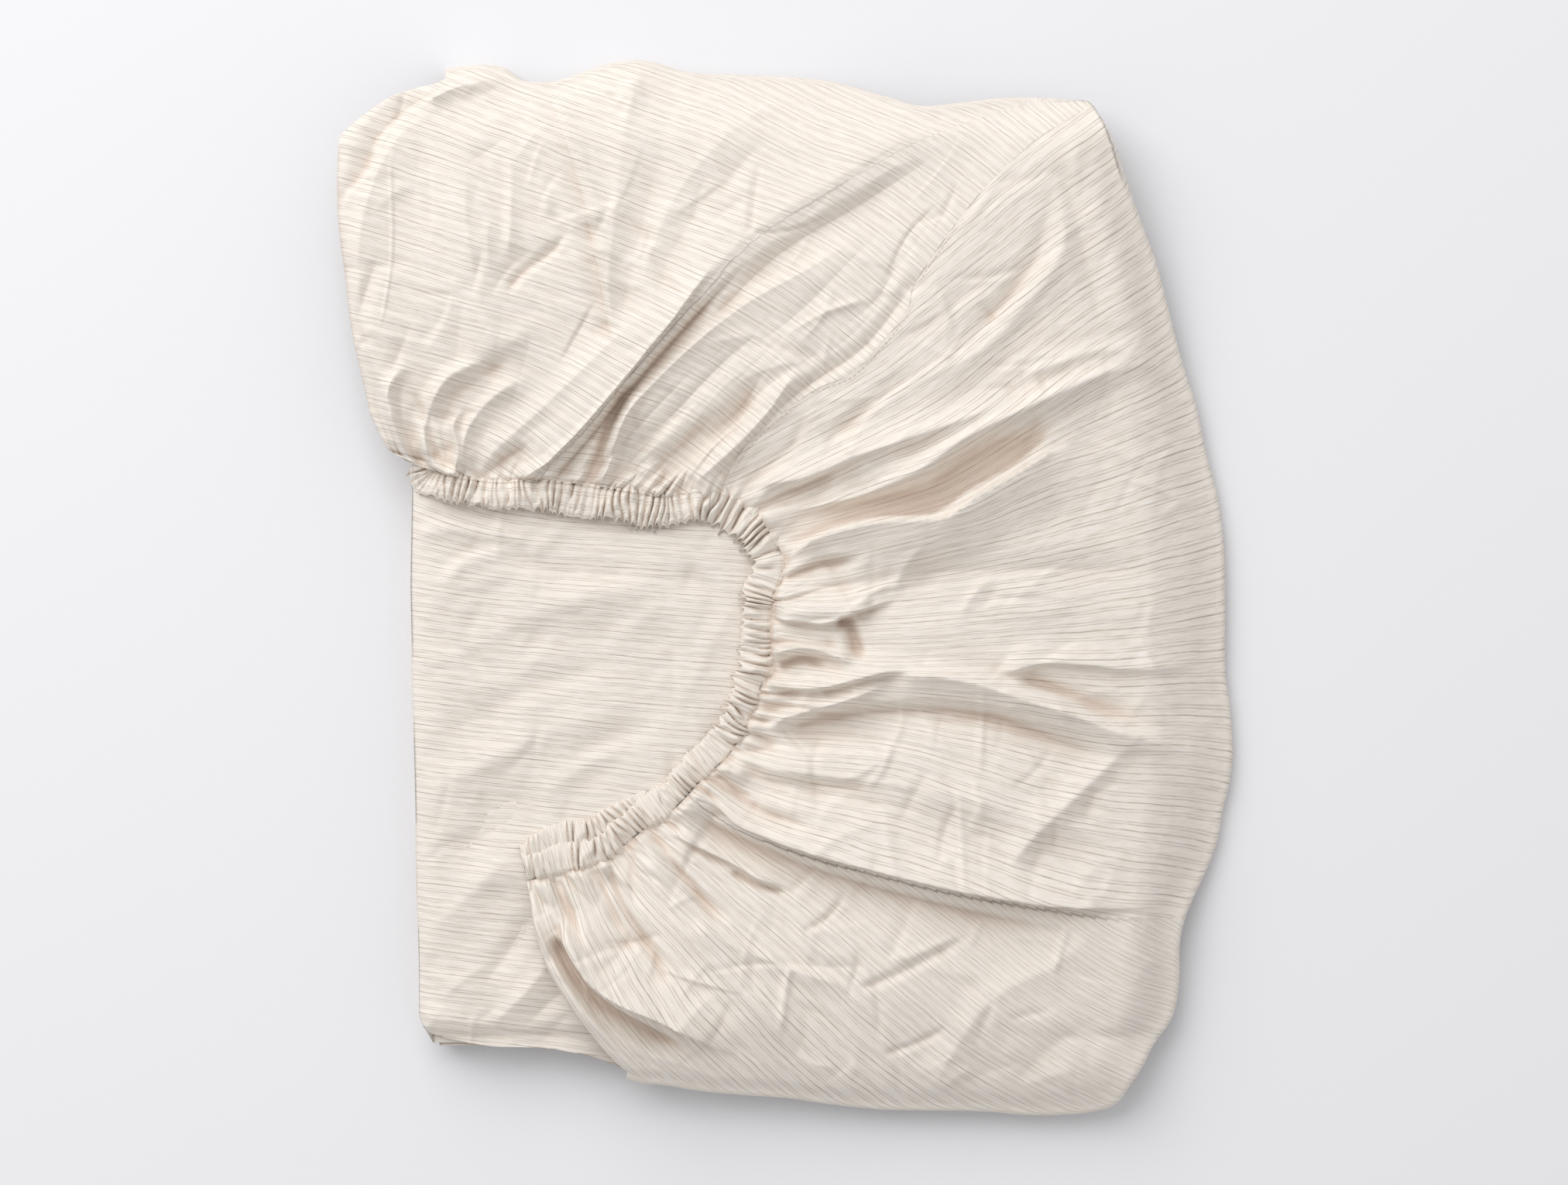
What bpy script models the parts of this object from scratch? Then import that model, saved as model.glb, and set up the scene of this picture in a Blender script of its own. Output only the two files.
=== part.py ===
# A small fitted sheet folded into a packet, with one elasticated corner pocket turned up over it.
# The cloth is one surface: gathered casing, skirt, rim, top layer, then the layers below, back and forth.

import math

import bmesh
import bpy
import numpy as np

MM = 0.001


def metres(rows):
    return np.array(rows, dtype=float) * MM


# Cloth and packet
CLOTH_THICKNESS = 1.2 * MM
LAYER_PITCH = 1.8 * MM
LAYERS_BELOW = 13
PACKET_TOP = CLOTH_THICKNESS / 2 + LAYERS_BELOW * LAYER_PITCH
PACKET_BACK = 198 * MM
PACKET_FRONT = -206 * MM
PACKET_SWELL = 0.08
TOP_LAYER_GAP = 1.0 * MM
DROOP_REACH = 38 * MM
DROOP_START = 3 * MM
FRONT_DROOP_START = 12 * MM
FLOOR_GAP = 0.6 * MM

# The left and right folds of the packet as seen from above: distance along Y, then X
LEFT_FOLD = metres([(198, -171), (120, -172), (0, -174), (-90, -172), (-180, -170), (-206, -168)])
RIGHT_FOLD = metres([(198, 136), (120, 148), (0, 162), (-90, 160), (-180, 150), (-206, 146)])
# How far each fold stands in from those lines, from the top of the packet down
LEFT_INSETS = metres([0, 2.5, 0.8, 3.2, 1.2, 2.2, 0.5])
RIGHT_INSETS = metres([4, 8, 1, 5, 2, 9, 6])
# How far the front edge of each layer stands out past the top layer's
FRONT_STEPS = metres([4, 1.5, 5.5, 3, 0.5, 4.5, 2, 5, 1, 3.5, 2.5, 4, 1.5])

# Outline of the fanned pocket, clockwise from its left end
RIM = metres([
    (-158, 239.5), (-146, 241), (-137, 241.3), (-130, 239.5), (-125.5, 236), (-121, 233.5), (-113, 233),
    (-107, 233.5), (-101, 235.5), (-94, 238), (-86, 241), (-76, 243), (-66, 243.3), (-58, 241.5),
    (-49, 238.5), (-38, 237), (-24, 236.5), (0, 235.5), (12, 234.5), (24, 232.5), (37, 228.5), (48, 225),
    (58, 221.5), (67, 221), (83, 223), (100, 225), (117, 225), (129, 224), (138, 222.5), (143, 217),
    (149, 205), (154, 191), (159, 177), (165, 162), (170, 149), (176, 127), (182, 105), (189, 84),
    (193.5, 63), (199, 42), (202, 21), (202.5, 0), (202.7, -14), (202.5, -28), (203, -42), (205, -55),
    (206, -70), (206, -80), (204.5, -92), (201.5, -104), (199.5, -116), (194.5, -130), (188, -143),
    (183, -155), (181, -166), (181, -180), (180, -190), (177, -200), (169, -211), (164, -220),
    (158, -229), (152, -238), (144, -241.5), (130, -243.5), (110, -243.8), (90, -242), (60, -241.5),
    (42, -241), (20, -238.5), (0, -235.5), (-20, -234), (-40, -232), (-58, -229), (-66, -228.5),
    (-74, -226),
])
# Free edge of the gathered hem, from the left end round to the front end
HEM = metres([
    (-176, 52), (-170, 44), (-160, 39), (-148, 36), (-131, 34), (-112, 34), (-89, 31), (-63, 27),
    (-53, 27), (-43, 29), (-34, 29), (-24, 22), (-18, 14), (-16, 9), (-21, -4), (-22, -20),
    (-22, -33), (-25, -43), (-30, -56), (-37, -69), (-47, -78), (-60, -92), (-73, -101),
    (-89, -113), (-105, -118), (-122, -122),
])
# The pocket's two open sides, from hem to rim
LEFT_SIDE = metres([
    (-167, 58), (-177, 60), (-183, 63), (-187, 70), (-191, 79), (-193, 89), (-197, 106), (-200, 123),
    (-202, 140), (-204.5, 158), (-206, 175), (-206.3, 192), (-206, 205), (-203, 210.5), (-197, 217),
    (-191, 223), (-186, 228), (-177, 233.5), (-168, 237), (-158, 239.5),
])
FRONT_SIDE = metres([
    (-119, -135), (-115, -158), (-109, -176), (-99, -192), (-90, -205), (-81, -217), (-74, -226),
])
# Front edge of the top layer, from the rim's end to the left fold
TOP_LAYER_FRONT = metres([
    (-74, -226), (-81, -223), (-89, -220), (-97, -217.5), (-112, -214.5), (-123, -213.5), (-138, -212.5),
    (-152, -210), (-168, -206),
])
# Where each rib of the pocket starts on the hem and ends on the rim, as shares of their lengths
RIBS = np.array([
    (0.000, 0.000), (0.101, 0.063), (0.147, 0.114), (0.194, 0.230), (0.289, 0.262), (0.363, 0.288),
    (0.404, 0.302), (0.448, 0.375), (0.492, 0.460), (0.575, 0.552), (0.638, 0.608), (0.756, 0.687),
    (0.851, 0.778), (0.927, 0.885), (1.000, 1.000),
])

# Casing section: distance in from the free edge, height above the cloth that it lies on
CASING = metres([(11.5, 2.0), (6.5, 1.6), (2.0, 1.7), (0.0, 3.2), (2.2, 4.9), (7.0, 5.7), (12.0, 4.4)])
CASING_WIDTH = 13 * MM
GATHERS = 40
GATHER_HEIGHT = 0.8 * MM
GATHER_FADE = 0.3
SKIRT_LOFT = 11 * MM
RIM_RADIUS = 3.6 * MM
SIDE_ROLL = 7 * MM

# Folds of the pocket, each from hem to rim: height, width behind, width in front, lean, crest line.
# A height under zero is a crease. Front is the right-hand side as the line runs outwards.
FOLDS = [
    ("left roll", 5, 16, 11, 0, [(-168, 62), (-184, 117), (-183, 164), (-177, 199), (-148, 224)]),
    ("left crease", -4, 12, 8, 0, [(-85, 108), (-86, 130), (-89, 157), (-99, 182), (-113, 231)]),
    ("back valley", -6, 20, 10, 0, [(-95, 95), (-74, 130), (-69, 154), (-62, 177), (-53, 234)]),
    ("back swell", 5, 18, 16, 0, [(-60, 118), (-38, 165), (-14, 200), (20, 228)]),
    ("great overlap", 11, 30, 7, 8,
     [(-116, 50), (-109, 61), (-92, 77), (-76, 95), (-57, 113), (-40, 133), (-27, 146), (8, 172),
      (35, 188), (64, 204), (90, 216)]),
    ("near valley", -6, 9, 8, 0, [(-66, 47), (-60, 62), (-52, 90)]),
    ("seam valley", -5, 14, 9, 0, [(-50, 44), (-38, 72), (-20, 100)]),
    ("seam", 4, 8, 6, 0, [(-32, 42), (-17, 64), (15, 84), (47, 113), (61, 138), (93, 182), (138, 218)]),
    ("right valley", -7, 9, 14, 0, [(13, 60), (49, 92), (88, 128), (117, 153), (120, 188), (130, 200)]),
    ("right ridge", 6, 16, 11, 2, [(-10, 43), (8, 51), (31, 58), (57, 61), (102, 60), (120, 78), (160, 104)]),
    ("right groove", -9, 13, 8, 0,
     [(-3, 19), (15, 27), (41, 32), (67, 34), (83, 45), (99, 58), (117, 71), (150, 92)]),
    ("right lobe", 6, 11, 22, 0, [(-2, 8), (30, 17), (64, 22), (110, 40), (170, 66)]),
    ("middle hollow", -4, 10, 14, 0, [(-4, -22), (30, -16), (60, -6), (120, 6), (180, 10)]),
    ("long ridge", 7, 18, 9, 2, [(-8, -47), (41, -40), (61, -41), (110, -52), (149, -64), (184, -73)]),
    ("front hollow", -6, 12, 22, 0, [(-12, -60), (27, -64), (70, -80), (130, -104), (172, -122)]),
    ("front overlap", 10, 24, 7, 7,
     [(-42, -96), (-18, -111), (8, -122), (34, -127), (73, -137), (106, -144), (142, -150), (168, -160)]),
    ("front swell", 5, 18, 18, 0, [(-72, -118), (-50, -150), (-20, -180), (10, -210)]),
    ("strip slit", -6, 7, 8, 0, [(-112, -134), (-96, -168), (-66, -200), (-30, -222)]),
]

# Wrinkles of the top layer where it shows: height, half width, line
WRINKLES = [
    (1.6, 9, [(-168, 20), (-150, 27), (-120, 24)]),
    (2.2, 16, [(-150, -60), (-110, -20), (-70, -5)]),
    (1.8, 14, [(-160, -150), (-130, -110), (-90, -90)]),
    (1.6, 12, [(-150, -195), (-125, -170), (-112, -150)]),
]

# Rows and columns of the surface before it is thinned out
HEM_COLUMNS = 241
SKIRT_COLUMNS = 151
SKIRT_ROWS = 30
RIM_ROWS = 3
TOP_COLUMNS = 61
TOP_ROWS = 22
STACK_COLUMNS = 11
STACK_STOPS = (0.0, 0.5, 1.0)
TURN_STEPS = 4
KEPT_SHARE = 0.27
CURVE_STEPS = 12


def curve_through(points):
    """Points of a smooth curve through the given ones, close together."""
    ends = np.vstack([2 * points[0] - points[1], points, 2 * points[-1] - points[-2]])
    t = np.linspace(0, 1, CURVE_STEPS, endpoint=False)[:, None]
    runs = []
    for a, b, c, d in zip(ends, ends[1:], ends[2:], ends[3:]):
        bend = (2 * a - 5 * b + 4 * c - d) * t**2 + (3 * b - a - 3 * c + d) * t**3
        runs.append(0.5 * (2 * b + (c - a) * t + bend))
    return np.vstack(runs + [points[-1:]])


def at_share(curve, share):
    """The point at each share of a curve's length."""
    steps = np.hypot(*np.diff(curve, axis=0).T)
    along = np.concatenate([[0], np.cumsum(steps)]) / steps.sum()
    return np.stack([np.interp(share, along, curve[:, axis]) for axis in (0, 1)], axis=-1)


def outward(curve, share):
    """The unit normal on the left-hand side of a curve at each share of its length."""
    step = 0.012
    run = at_share(curve, np.minimum(share + step, 1)) - at_share(curve, np.maximum(share - step, 0))
    normal = np.stack([-run[..., 1], run[..., 0]], axis=-1)
    return normal / np.linalg.norm(normal, axis=-1, keepdims=True)


def smooth_step(value):
    value = np.clip(value, 0, 1)
    return value * value * (3 - 2 * value)


def from_line(points, line):
    """Distance of each point to the right of a line, share along it, and the line's right-hand normal there."""
    curve = curve_through(line)
    start, run = curve[:-1], np.diff(curve, axis=0)
    length = np.hypot(*run.T)
    offset = points[..., None, :] - start
    share = np.clip((offset * run).sum(-1) / length**2, 0, 1)
    gap = offset - share[..., None] * run
    nearest = np.hypot(gap[..., 0], gap[..., 1]).argmin(-1)[..., None]
    gap = np.take_along_axis(gap, nearest[..., None], -2)[..., 0, :]
    along = np.take_along_axis(share, nearest, -1)[..., 0]
    nearest = nearest[..., 0]
    right = np.stack([run[:, 1], -run[:, 0]], axis=-1) / length[:, None]
    right = right[nearest]
    side = np.where((gap * right).sum(-1) < 0, -1, 1)
    passed = np.concatenate([[0], np.cumsum(length)])
    return side * np.hypot(gap[..., 0], gap[..., 1]), (passed[nearest] + along * length[nearest]) / passed[-1], right


def bump(distance, behind, ahead):
    width = np.where(distance < 0, behind, ahead)
    return (1 + np.cos(math.pi * np.clip(np.abs(distance) / width, 0, 1))) / 2


def swell(x, y):
    """Slow unevenness shared by every layer of the packet, from -1 to 1."""
    return 0.5 * np.sin(x / 0.052 + 1.3) * np.cos(y / 0.075) + 0.5 * np.sin(y / 0.061 - x / 0.11)


def packet_height(x, y, layer):
    """Height of the middle of a layer; layer 0 is the top one and the last one lies flat on the floor."""
    stacked = (LAYERS_BELOW - layer) * LAYER_PITCH
    return CLOTH_THICKNESS / 2 + stacked * (1 + PACKET_SWELL * swell(x, y) * stacked / PACKET_TOP)


def top_height(points):
    """Height of the top layer: over the packet, then drooping to the floor past its edges."""
    x, y = points[..., 0], points[..., 1]
    inside_y = np.clip(y, PACKET_FRONT - FRONT_DROOP_START, PACKET_BACK + DROOP_START)
    left = np.interp(-inside_y, -LEFT_FOLD[:, 0], LEFT_FOLD[:, 1]) - DROOP_START
    right = np.interp(-inside_y, -RIGHT_FOLD[:, 0], RIGHT_FOLD[:, 1]) + DROOP_START
    past = np.hypot(x - np.clip(x, left, right), y - inside_y)
    low = CLOTH_THICKNESS / 2 + FLOOR_GAP
    height = packet_height(x, y, 0) + TOP_LAYER_GAP
    height = height + (low - height) * smooth_step(past / DROOP_REACH)
    for rise, width, line in WRINKLES:
        distance, share, _ = from_line(points, metres(line))
        height = height + rise * MM * bump(distance, width * MM, width * MM) * np.sin(math.pi * share) ** 0.5
    return height


def side_pull(share, side, start, end):
    """How far a curved side stands off the straight line between its ends."""
    straight = start + (end - start) * share[..., None]
    return at_share(side, share) - straight


class Pocket:
    """The fanned pocket in plan: casing, skirt and rim, by share along the hem and share out from it."""

    def __init__(self):
        self.hem = curve_through(HEM)
        self.rim = curve_through(RIM)
        self.left = curve_through(LEFT_SIDE)
        self.front = curve_through(FRONT_SIDE)

    def shares(self, column):
        middle = RIBS.mean(axis=1)
        return np.interp(column, middle, RIBS[:, 0]), np.interp(column, middle, RIBS[:, 1])

    def hem_point(self, column, inward):
        share, _ = self.shares(column)
        return at_share(self.hem, share) + outward(self.hem, share) * np.asarray(inward)[..., None]

    def rim_point(self, column, inward):
        _, share = self.shares(column)
        return at_share(self.rim, share) - outward(self.rim, share) * np.asarray(inward)[..., None]

    def skirt_plan(self, column, out):
        start, end = self.hem_point(column, CASING_WIDTH), self.rim_point(column, RIM_RADIUS)
        point = start + (end - start) * out[..., None]
        for side, edge, weight in ((self.left, 0, (1 - column) ** 7), (self.front, -1, column**7)):
            pull = side_pull(out, side, start[edge], end[edge])
            point = point + pull * (weight * (1 - out**12))[..., None]
        return point

    def side_drop(self, column, point):
        """How far the cloth rolls down beside the pocket's two open sides."""
        drop = np.zeros_like(column)
        for side in (self.left, self.front):
            edge = np.abs(from_line(point, side[::CURVE_STEPS])[0])
            inside = 1 - np.clip(edge / SIDE_ROLL, 0, 1)
            drop = drop + SIDE_ROLL * (1 - np.sqrt(1 - inside**2))
        return drop


def gather(column):
    """Ripple of the gathered hem, from -1 to 1, uneven along its length."""
    turns = 2 * math.pi * (GATHERS * column + 1.1 * np.sin(9 * column) + 0.5 * np.sin(31 * column))
    return np.sin(turns)


def casing_row(pocket, inward, height):
    column = np.linspace(0, 1, HEM_COLUMNS)
    ripple = gather(column)
    point = pocket.hem_point(column, inward + 0.6 * MM * ripple)
    lift = height + GATHER_HEIGHT * (ripple + 1) * (height > CASING[3, 1])
    return np.column_stack([point, top_height(point) + lift])


def skirt_row(pocket, out):
    column = np.linspace(0, 1, SKIRT_COLUMNS)
    point = pocket.skirt_plan(column, np.full_like(column, out))
    rise = math.sin(math.pi * min(out / 0.72, 1) / 2) * math.cos(math.pi * max(out - 0.72, 0) / 0.56 / 2)
    loft = CASING[-1, 1] * (1 - out) + 2 * RIM_RADIUS * out + SKIRT_LOFT * rise
    lift = np.full_like(column, loft)
    lift += 2 * GATHER_HEIGHT * gather(column) * max(0, 1 - out / GATHER_FADE)
    shift = np.zeros_like(point)
    ends = smooth_step(out / 0.12) * smooth_step((1 - out) / 0.1)
    for _, rise_mm, behind, ahead, lean, line in FOLDS:
        distance, share, right = from_line(point, metres(line))
        shape = bump(distance + lean * MM, behind * MM, ahead * MM)
        shape = shape * smooth_step(share / 0.12) * smooth_step((1 - share) / 0.2) * ends
        lift += rise_mm * MM * shape
        shift += right * (lean * MM * shape)[:, None]
    lift = np.maximum(lift, 2.4 * MM) - pocket.side_drop(column, point) * ends
    return np.column_stack([point + shift, top_height(point) + lift])


def rim_row(pocket, angle):
    column = np.linspace(0, 1, SKIRT_COLUMNS)
    reach = RIM_RADIUS * (1 - math.cos(angle))
    point = pocket.rim_point(column, reach)
    height = top_height(pocket.rim_point(column, RIM_RADIUS))
    return np.column_stack([point, height + RIM_RADIUS * (1 + math.sin(angle))])


def top_row(pocket, share):
    """The top layer, ruled from the rim to the packet's left fold."""
    column = np.linspace(0, 1, TOP_COLUMNS)
    start = pocket.rim_point(column, RIM_RADIUS)
    y = PACKET_BACK + (PACKET_FRONT - PACKET_BACK) * column
    fold = np.column_stack([np.interp(-y, -LEFT_FOLD[:, 0], LEFT_FOLD[:, 1]) + LAYER_PITCH / 2, y])
    point = start + (fold - start) * share
    front = curve_through(TOP_LAYER_FRONT)
    pull = side_pull(np.full_like(column, share), front, front[0], front[-1])
    point = point + pull * (column**9)[:, None]
    return np.column_stack([point, top_height(point)])


def stack_rows():
    """The layers below the top one, each joined to the next by a turn."""
    column = np.linspace(0, 1, STACK_COLUMNS)
    rows = []
    for layer in range(1, LAYERS_BELOW + 1):
        y = PACKET_BACK + (PACKET_FRONT - FRONT_STEPS[layer - 1] - PACKET_BACK) * column
        left = np.interp(-y, -LEFT_FOLD[:, 0], LEFT_FOLD[:, 1]) + LEFT_INSETS[layer // 2]
        right = np.interp(-y, -RIGHT_FOLD[:, 0], RIGHT_FOLD[:, 1]) - RIGHT_INSETS[(layer - 1) // 2]
        rightwards = layer % 2 == 1
        turn_x = left if rightwards else right
        inwards = 1 if rightwards else -1
        for step in range(1, TURN_STEPS):
            angle = math.pi * step / TURN_STEPS
            x = turn_x + inwards * LAYER_PITCH / 2 * (1 - math.sin(angle))
            above, below = packet_height(x, y, layer - 1), packet_height(x, y, layer)
            above = above + TOP_LAYER_GAP * (layer == 1)
            rows.append(np.column_stack([x, y, below + (above - below) * (1 + math.cos(angle)) / 2]))
        ends = [left + LAYER_PITCH / 2, right - LAYER_PITCH / 2]
        if not rightwards:
            ends.reverse()
        for stop in STACK_STOPS:
            x = ends[0] + (ends[1] - ends[0]) * stop
            rows.append(np.column_stack([x, y, packet_height(x, y, layer)]))
    return rows


def cloth_rows():
    """Every row of the cloth's middle surface, and whether the row may be thinned out."""
    pocket = Pocket()
    rows = [casing_row(pocket, inward, height) for inward, height in CASING]
    rows += [skirt_row(pocket, out) for out in np.linspace(0, 1, SKIRT_ROWS)[1:]]
    rows += [rim_row(pocket, math.pi * (0.5 - step / (RIM_ROWS + 1))) for step in range(1, RIM_ROWS + 1)]
    rows += [top_row(pocket, share) for share in np.linspace(0, 1, TOP_ROWS)]
    layers = stack_rows()
    return [(row, True) for row in rows] + [(row, False) for row in layers]


def join_rows(surface, first, second):
    """Faces between two rows of vertices, which may hold unlike counts."""
    if len(first) == len(second):
        for quad in zip(first, first[1:], second[1:], second):
            surface.faces.new(quad)
        return
    here = there = 0
    while here < len(first) - 1 or there < len(second) - 1:
        if (here + 1) / (len(first) - 1) <= (there + 1) / (len(second) - 1):
            surface.faces.new((first[here], first[here + 1], second[there]))
            here += 1
        else:
            surface.faces.new((first[here], second[there + 1], second[there]))
            there += 1


def cloth_surface(name):
    surface = bmesh.new()
    layer = surface.verts.layers.deform.verify()
    rows = []
    for points, thinned in cloth_rows():
        row = [surface.verts.new(point) for point in points]
        for vertex in row:
            vertex[layer][0] = float(thinned)
        rows.append(row)
    for first, second in zip(rows, rows[1:]):
        join_rows(surface, first, second)
    mesh = bpy.data.meshes.new(name)
    surface.to_mesh(mesh)
    surface.free()
    return mesh


def cotton():
    material = bpy.data.materials.new("washed cotton")
    material.use_nodes = True
    shader = material.node_tree.nodes["Principled BSDF"]
    shader.inputs["Base Color"].default_value = (0.85, 0.78, 0.68, 1)
    shader.inputs["Roughness"].default_value = 0.9
    shader.inputs["Metallic"].default_value = 0
    return material


def fitted_sheet(collection):
    mesh = cloth_surface("fitted_sheet")
    sheet = bpy.data.objects.new("fitted_sheet", mesh)
    collection.objects.link(sheet)
    mesh.materials.append(cotton())
    mesh.shade_smooth()
    group = sheet.vertex_groups.new(name="thinned")
    thin = sheet.modifiers.new("Thin out", "DECIMATE")
    thin.ratio = KEPT_SHARE
    thin.vertex_group = group.name
    thin.vertex_group_factor = 1000
    solid = sheet.modifiers.new("Thickness", "SOLIDIFY")
    solid.thickness = CLOTH_THICKNESS
    solid.offset = 0
    return sheet


def main():
    for thing in list(bpy.data.objects):
        bpy.data.objects.remove(thing)
    collection = bpy.data.collections.new("crumpled fitted sheet")
    bpy.context.scene.collection.children.link(collection)
    fitted_sheet(collection)


main()
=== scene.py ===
# A small pinstriped fitted sheet, folded into a packet, with one corner pocket fanned out over it.
import math

import bpy
import numpy as np
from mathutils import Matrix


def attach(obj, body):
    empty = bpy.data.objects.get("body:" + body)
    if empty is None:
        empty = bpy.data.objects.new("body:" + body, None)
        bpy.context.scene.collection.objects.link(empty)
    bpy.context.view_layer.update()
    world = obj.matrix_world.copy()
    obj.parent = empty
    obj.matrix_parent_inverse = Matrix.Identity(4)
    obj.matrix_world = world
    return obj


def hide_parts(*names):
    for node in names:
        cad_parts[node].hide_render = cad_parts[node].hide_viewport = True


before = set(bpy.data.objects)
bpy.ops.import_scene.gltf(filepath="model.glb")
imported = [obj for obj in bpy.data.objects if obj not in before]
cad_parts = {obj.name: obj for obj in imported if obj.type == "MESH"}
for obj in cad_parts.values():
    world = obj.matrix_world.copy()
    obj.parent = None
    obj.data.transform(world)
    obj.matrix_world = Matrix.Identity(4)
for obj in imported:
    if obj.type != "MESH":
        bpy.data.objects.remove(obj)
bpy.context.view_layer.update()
print("frame loaded")

mm = 0.001


# Curves and grids

def metres(rows):
    return np.array(rows, dtype=float) * mm


def curveThrough(points, steps=12):  # a smooth curve through the points, as many short runs
    ends = np.vstack([2 * points[0] - points[1], points, 2 * points[-1] - points[-2]])
    t = np.linspace(0, 1, steps, endpoint=False)[:, None]
    runs = []
    for a, b, c, d in zip(ends, ends[1:], ends[2:], ends[3:]):
        bend = (2 * a - 5 * b + 4 * c - d) * t**2 + (3 * b - a - 3 * c + d) * t**3
        runs.append(0.5 * (2 * b + (c - a) * t + bend))
    return np.vstack(runs + [points[-1:]])


def lengthOf(curve):
    return np.hypot(*np.diff(curve, axis=0).T).sum()


def atShare(curve, share):  # the point at each share of a curve's length
    steps = np.hypot(*np.diff(curve, axis=0).T)
    along = np.concatenate([[0], np.cumsum(steps)]) / steps.sum()
    return np.stack([np.interp(share, along, curve[:, axis]) for axis in (0, 1)], axis=-1)


def leftNormal(curve, share, step=0.012):
    run = atShare(curve, np.minimum(share + step, 1)) - atShare(curve, np.maximum(share - step, 0))
    normal = np.stack([-run[..., 1], run[..., 0]], axis=-1)
    return normal / np.linalg.norm(normal, axis=-1, keepdims=True)


def smoothStep(value):
    value = np.clip(value, 0, 1)
    return value * value * (3 - 2 * value)


def mixed(start, end, share):
    return start + (end - start) * share


def fromLine(points, line, steps=6):  # distance to the right of a line, share along it, right-hand normal
    curve = curveThrough(line, steps)
    start, run = curve[:-1], np.diff(curve, axis=0)
    length = np.hypot(*run.T)
    passed = np.concatenate([[0], np.cumsum(length)])
    best = np.full(points.shape[:-1], np.inf)
    along, right = np.zeros_like(best), np.zeros_like(points)
    for index in range(len(run)):
        offset = points - start[index]
        share = np.clip(offset @ run[index] / length[index] ** 2, 0, 1)
        gap = offset - share[..., None] * run[index]
        reach = np.hypot(gap[..., 0], gap[..., 1])
        normal = np.array([run[index, 1], -run[index, 0]]) / length[index]
        nearer = reach < np.abs(best)
        side = np.where(gap @ normal < 0, -1, 1)
        best = np.where(nearer, side * reach, best)
        along = np.where(nearer, (passed[index] + share * length[index]) / passed[-1], along)
        right[nearer] = normal
    return best, along, right


def bump(distance, behind, ahead, crisp=0.75):  # a fold's section: soft, or crisp with a sharp crest
    near = np.clip(np.abs(distance) / np.where(distance < 0, behind, ahead), 0, 1)
    return mixed((1 + np.cos(math.pi * near)) / 2, (1 - near) ** 2, crisp)


def blurred(grid, passes):  # a grid of heights with its small forms smoothed away
    for _ in range(passes):
        for axis in (0, 1):
            before, after = np.roll(grid, 1, axis), np.roll(grid, -1, axis)
            if axis:
                before[:, 0], after[:, -1] = grid[:, 0], grid[:, -1]
            else:
                before[0], after[-1] = grid[0], grid[-1]
            grid = (before + 2 * grid + after) / 4
    return grid


# Hollows of each size: rounds of smoothing that find them, depth that counts as full. They set where the
# cloth's colour is darkened with painted shade
hollowSizes = {
    "casing": (8, 1.3 * mm),
    "small": (16, 2.2 * mm),
    "packet": (24, 2 * mm),
    "middle": (36, 4 * mm),
    "large": (180, 7 * mm),
}


def hollows(grid, size):  # how far each place lies in a hollow, from 0 to 1, which sets how much painted shade it gets
    passes, depth = hollowSizes[size]
    return np.clip((blurred(grid, passes) - grid) / depth, 0, 1) ** 1.5


def softNoise(x, y, seed):  # smooth noise from -1 to 1, one cell a unit
    table = np.random.default_rng(seed).uniform(-1, 1, (64, 64))
    left, low = np.floor(x).astype(int), np.floor(y).astype(int)
    across, up = smoothStep(x - left), smoothStep(y - low)
    corner = [table[(left + i) % 64, (low + j) % 64] for i in (0, 1) for j in (0, 1)]
    return mixed(mixed(corner[0], corner[1], up), mixed(corner[2], corner[3], up), across)


def rippled(places, ripples):  # noise of several kinds: height and size along both axes in mm, seed
    x, y = places[..., 0], places[..., 1]
    return sum(rise * mm * softNoise(x / (wide * mm), y / (deep * mm), seed)
               for rise, wide, deep, seed in ripples)


def addMesh(name, rows, maps, material, shade):  # rows of points, their stripe places and how much painted shade each point gets in its hollows
    counts = [len(row) for row in rows]
    starts = np.concatenate([[0], np.cumsum(counts)])
    faces = []
    for row in range(len(rows) - 1):
        faces += joined(starts[row], counts[row], starts[row + 1], counts[row + 1])
    mesh = bpy.data.meshes.new(name)
    mesh.from_pydata(np.vstack(rows), [], faces)
    layer = mesh.uv_layers.new(name="stripes")
    corners = np.zeros(len(mesh.loops), dtype=int)
    mesh.loops.foreach_get("vertex_index", corners)
    layer.data.foreach_set("uv", np.vstack(maps)[corners].ravel())
    # each point's share of painted shade, read by the material
    hollow = mesh.attributes.new("hollow", "FLOAT", "POINT")
    hollow.data.foreach_set("value", np.concatenate(shade))
    mesh.materials.append(material)
    mesh.update()
    if sum(face.normal.z * face.area for face in mesh.polygons) < 0:
        mesh.flip_normals()
    mesh.shade_smooth()
    thing = bpy.data.objects.new(name, mesh)
    bpy.context.scene.collection.objects.link(thing)
    return thing


def joined(first, firstCount, second, secondCount):  # faces between two rows, which may hold unlike counts
    if firstCount == secondCount:
        return [(first + i, first + i + 1, second + i + 1, second + i) for i in range(firstCount - 1)]
    faces, here, there = [], 0, 0
    while here < firstCount - 1 or there < secondCount - 1:
        if (here + 1) * (secondCount - 1) <= (there + 1) * (firstCount - 1):
            faces.append((first + here, first + here + 1, second + there))
            here += 1
        else:
            faces.append((first + here, second + there + 1, second + there))
            there += 1
    return faces


# Node trees

def addNode(tree, kind, links=None, **settings):
    node = tree.nodes.new(kind)
    for key, value in settings.items():
        setattr(node, key, value)
    for key, value in (links or {}).items():
        if isinstance(value, bpy.types.NodeSocket):
            tree.links.new(value, node.inputs[key])
        else:
            node.inputs[key].default_value = value
    return node


def math2(tree, operation, first, second=0.0):
    return addNode(tree, "ShaderNodeMath", {0: first, 1: second}, operation=operation).outputs[0]


# Stripe directions

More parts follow.
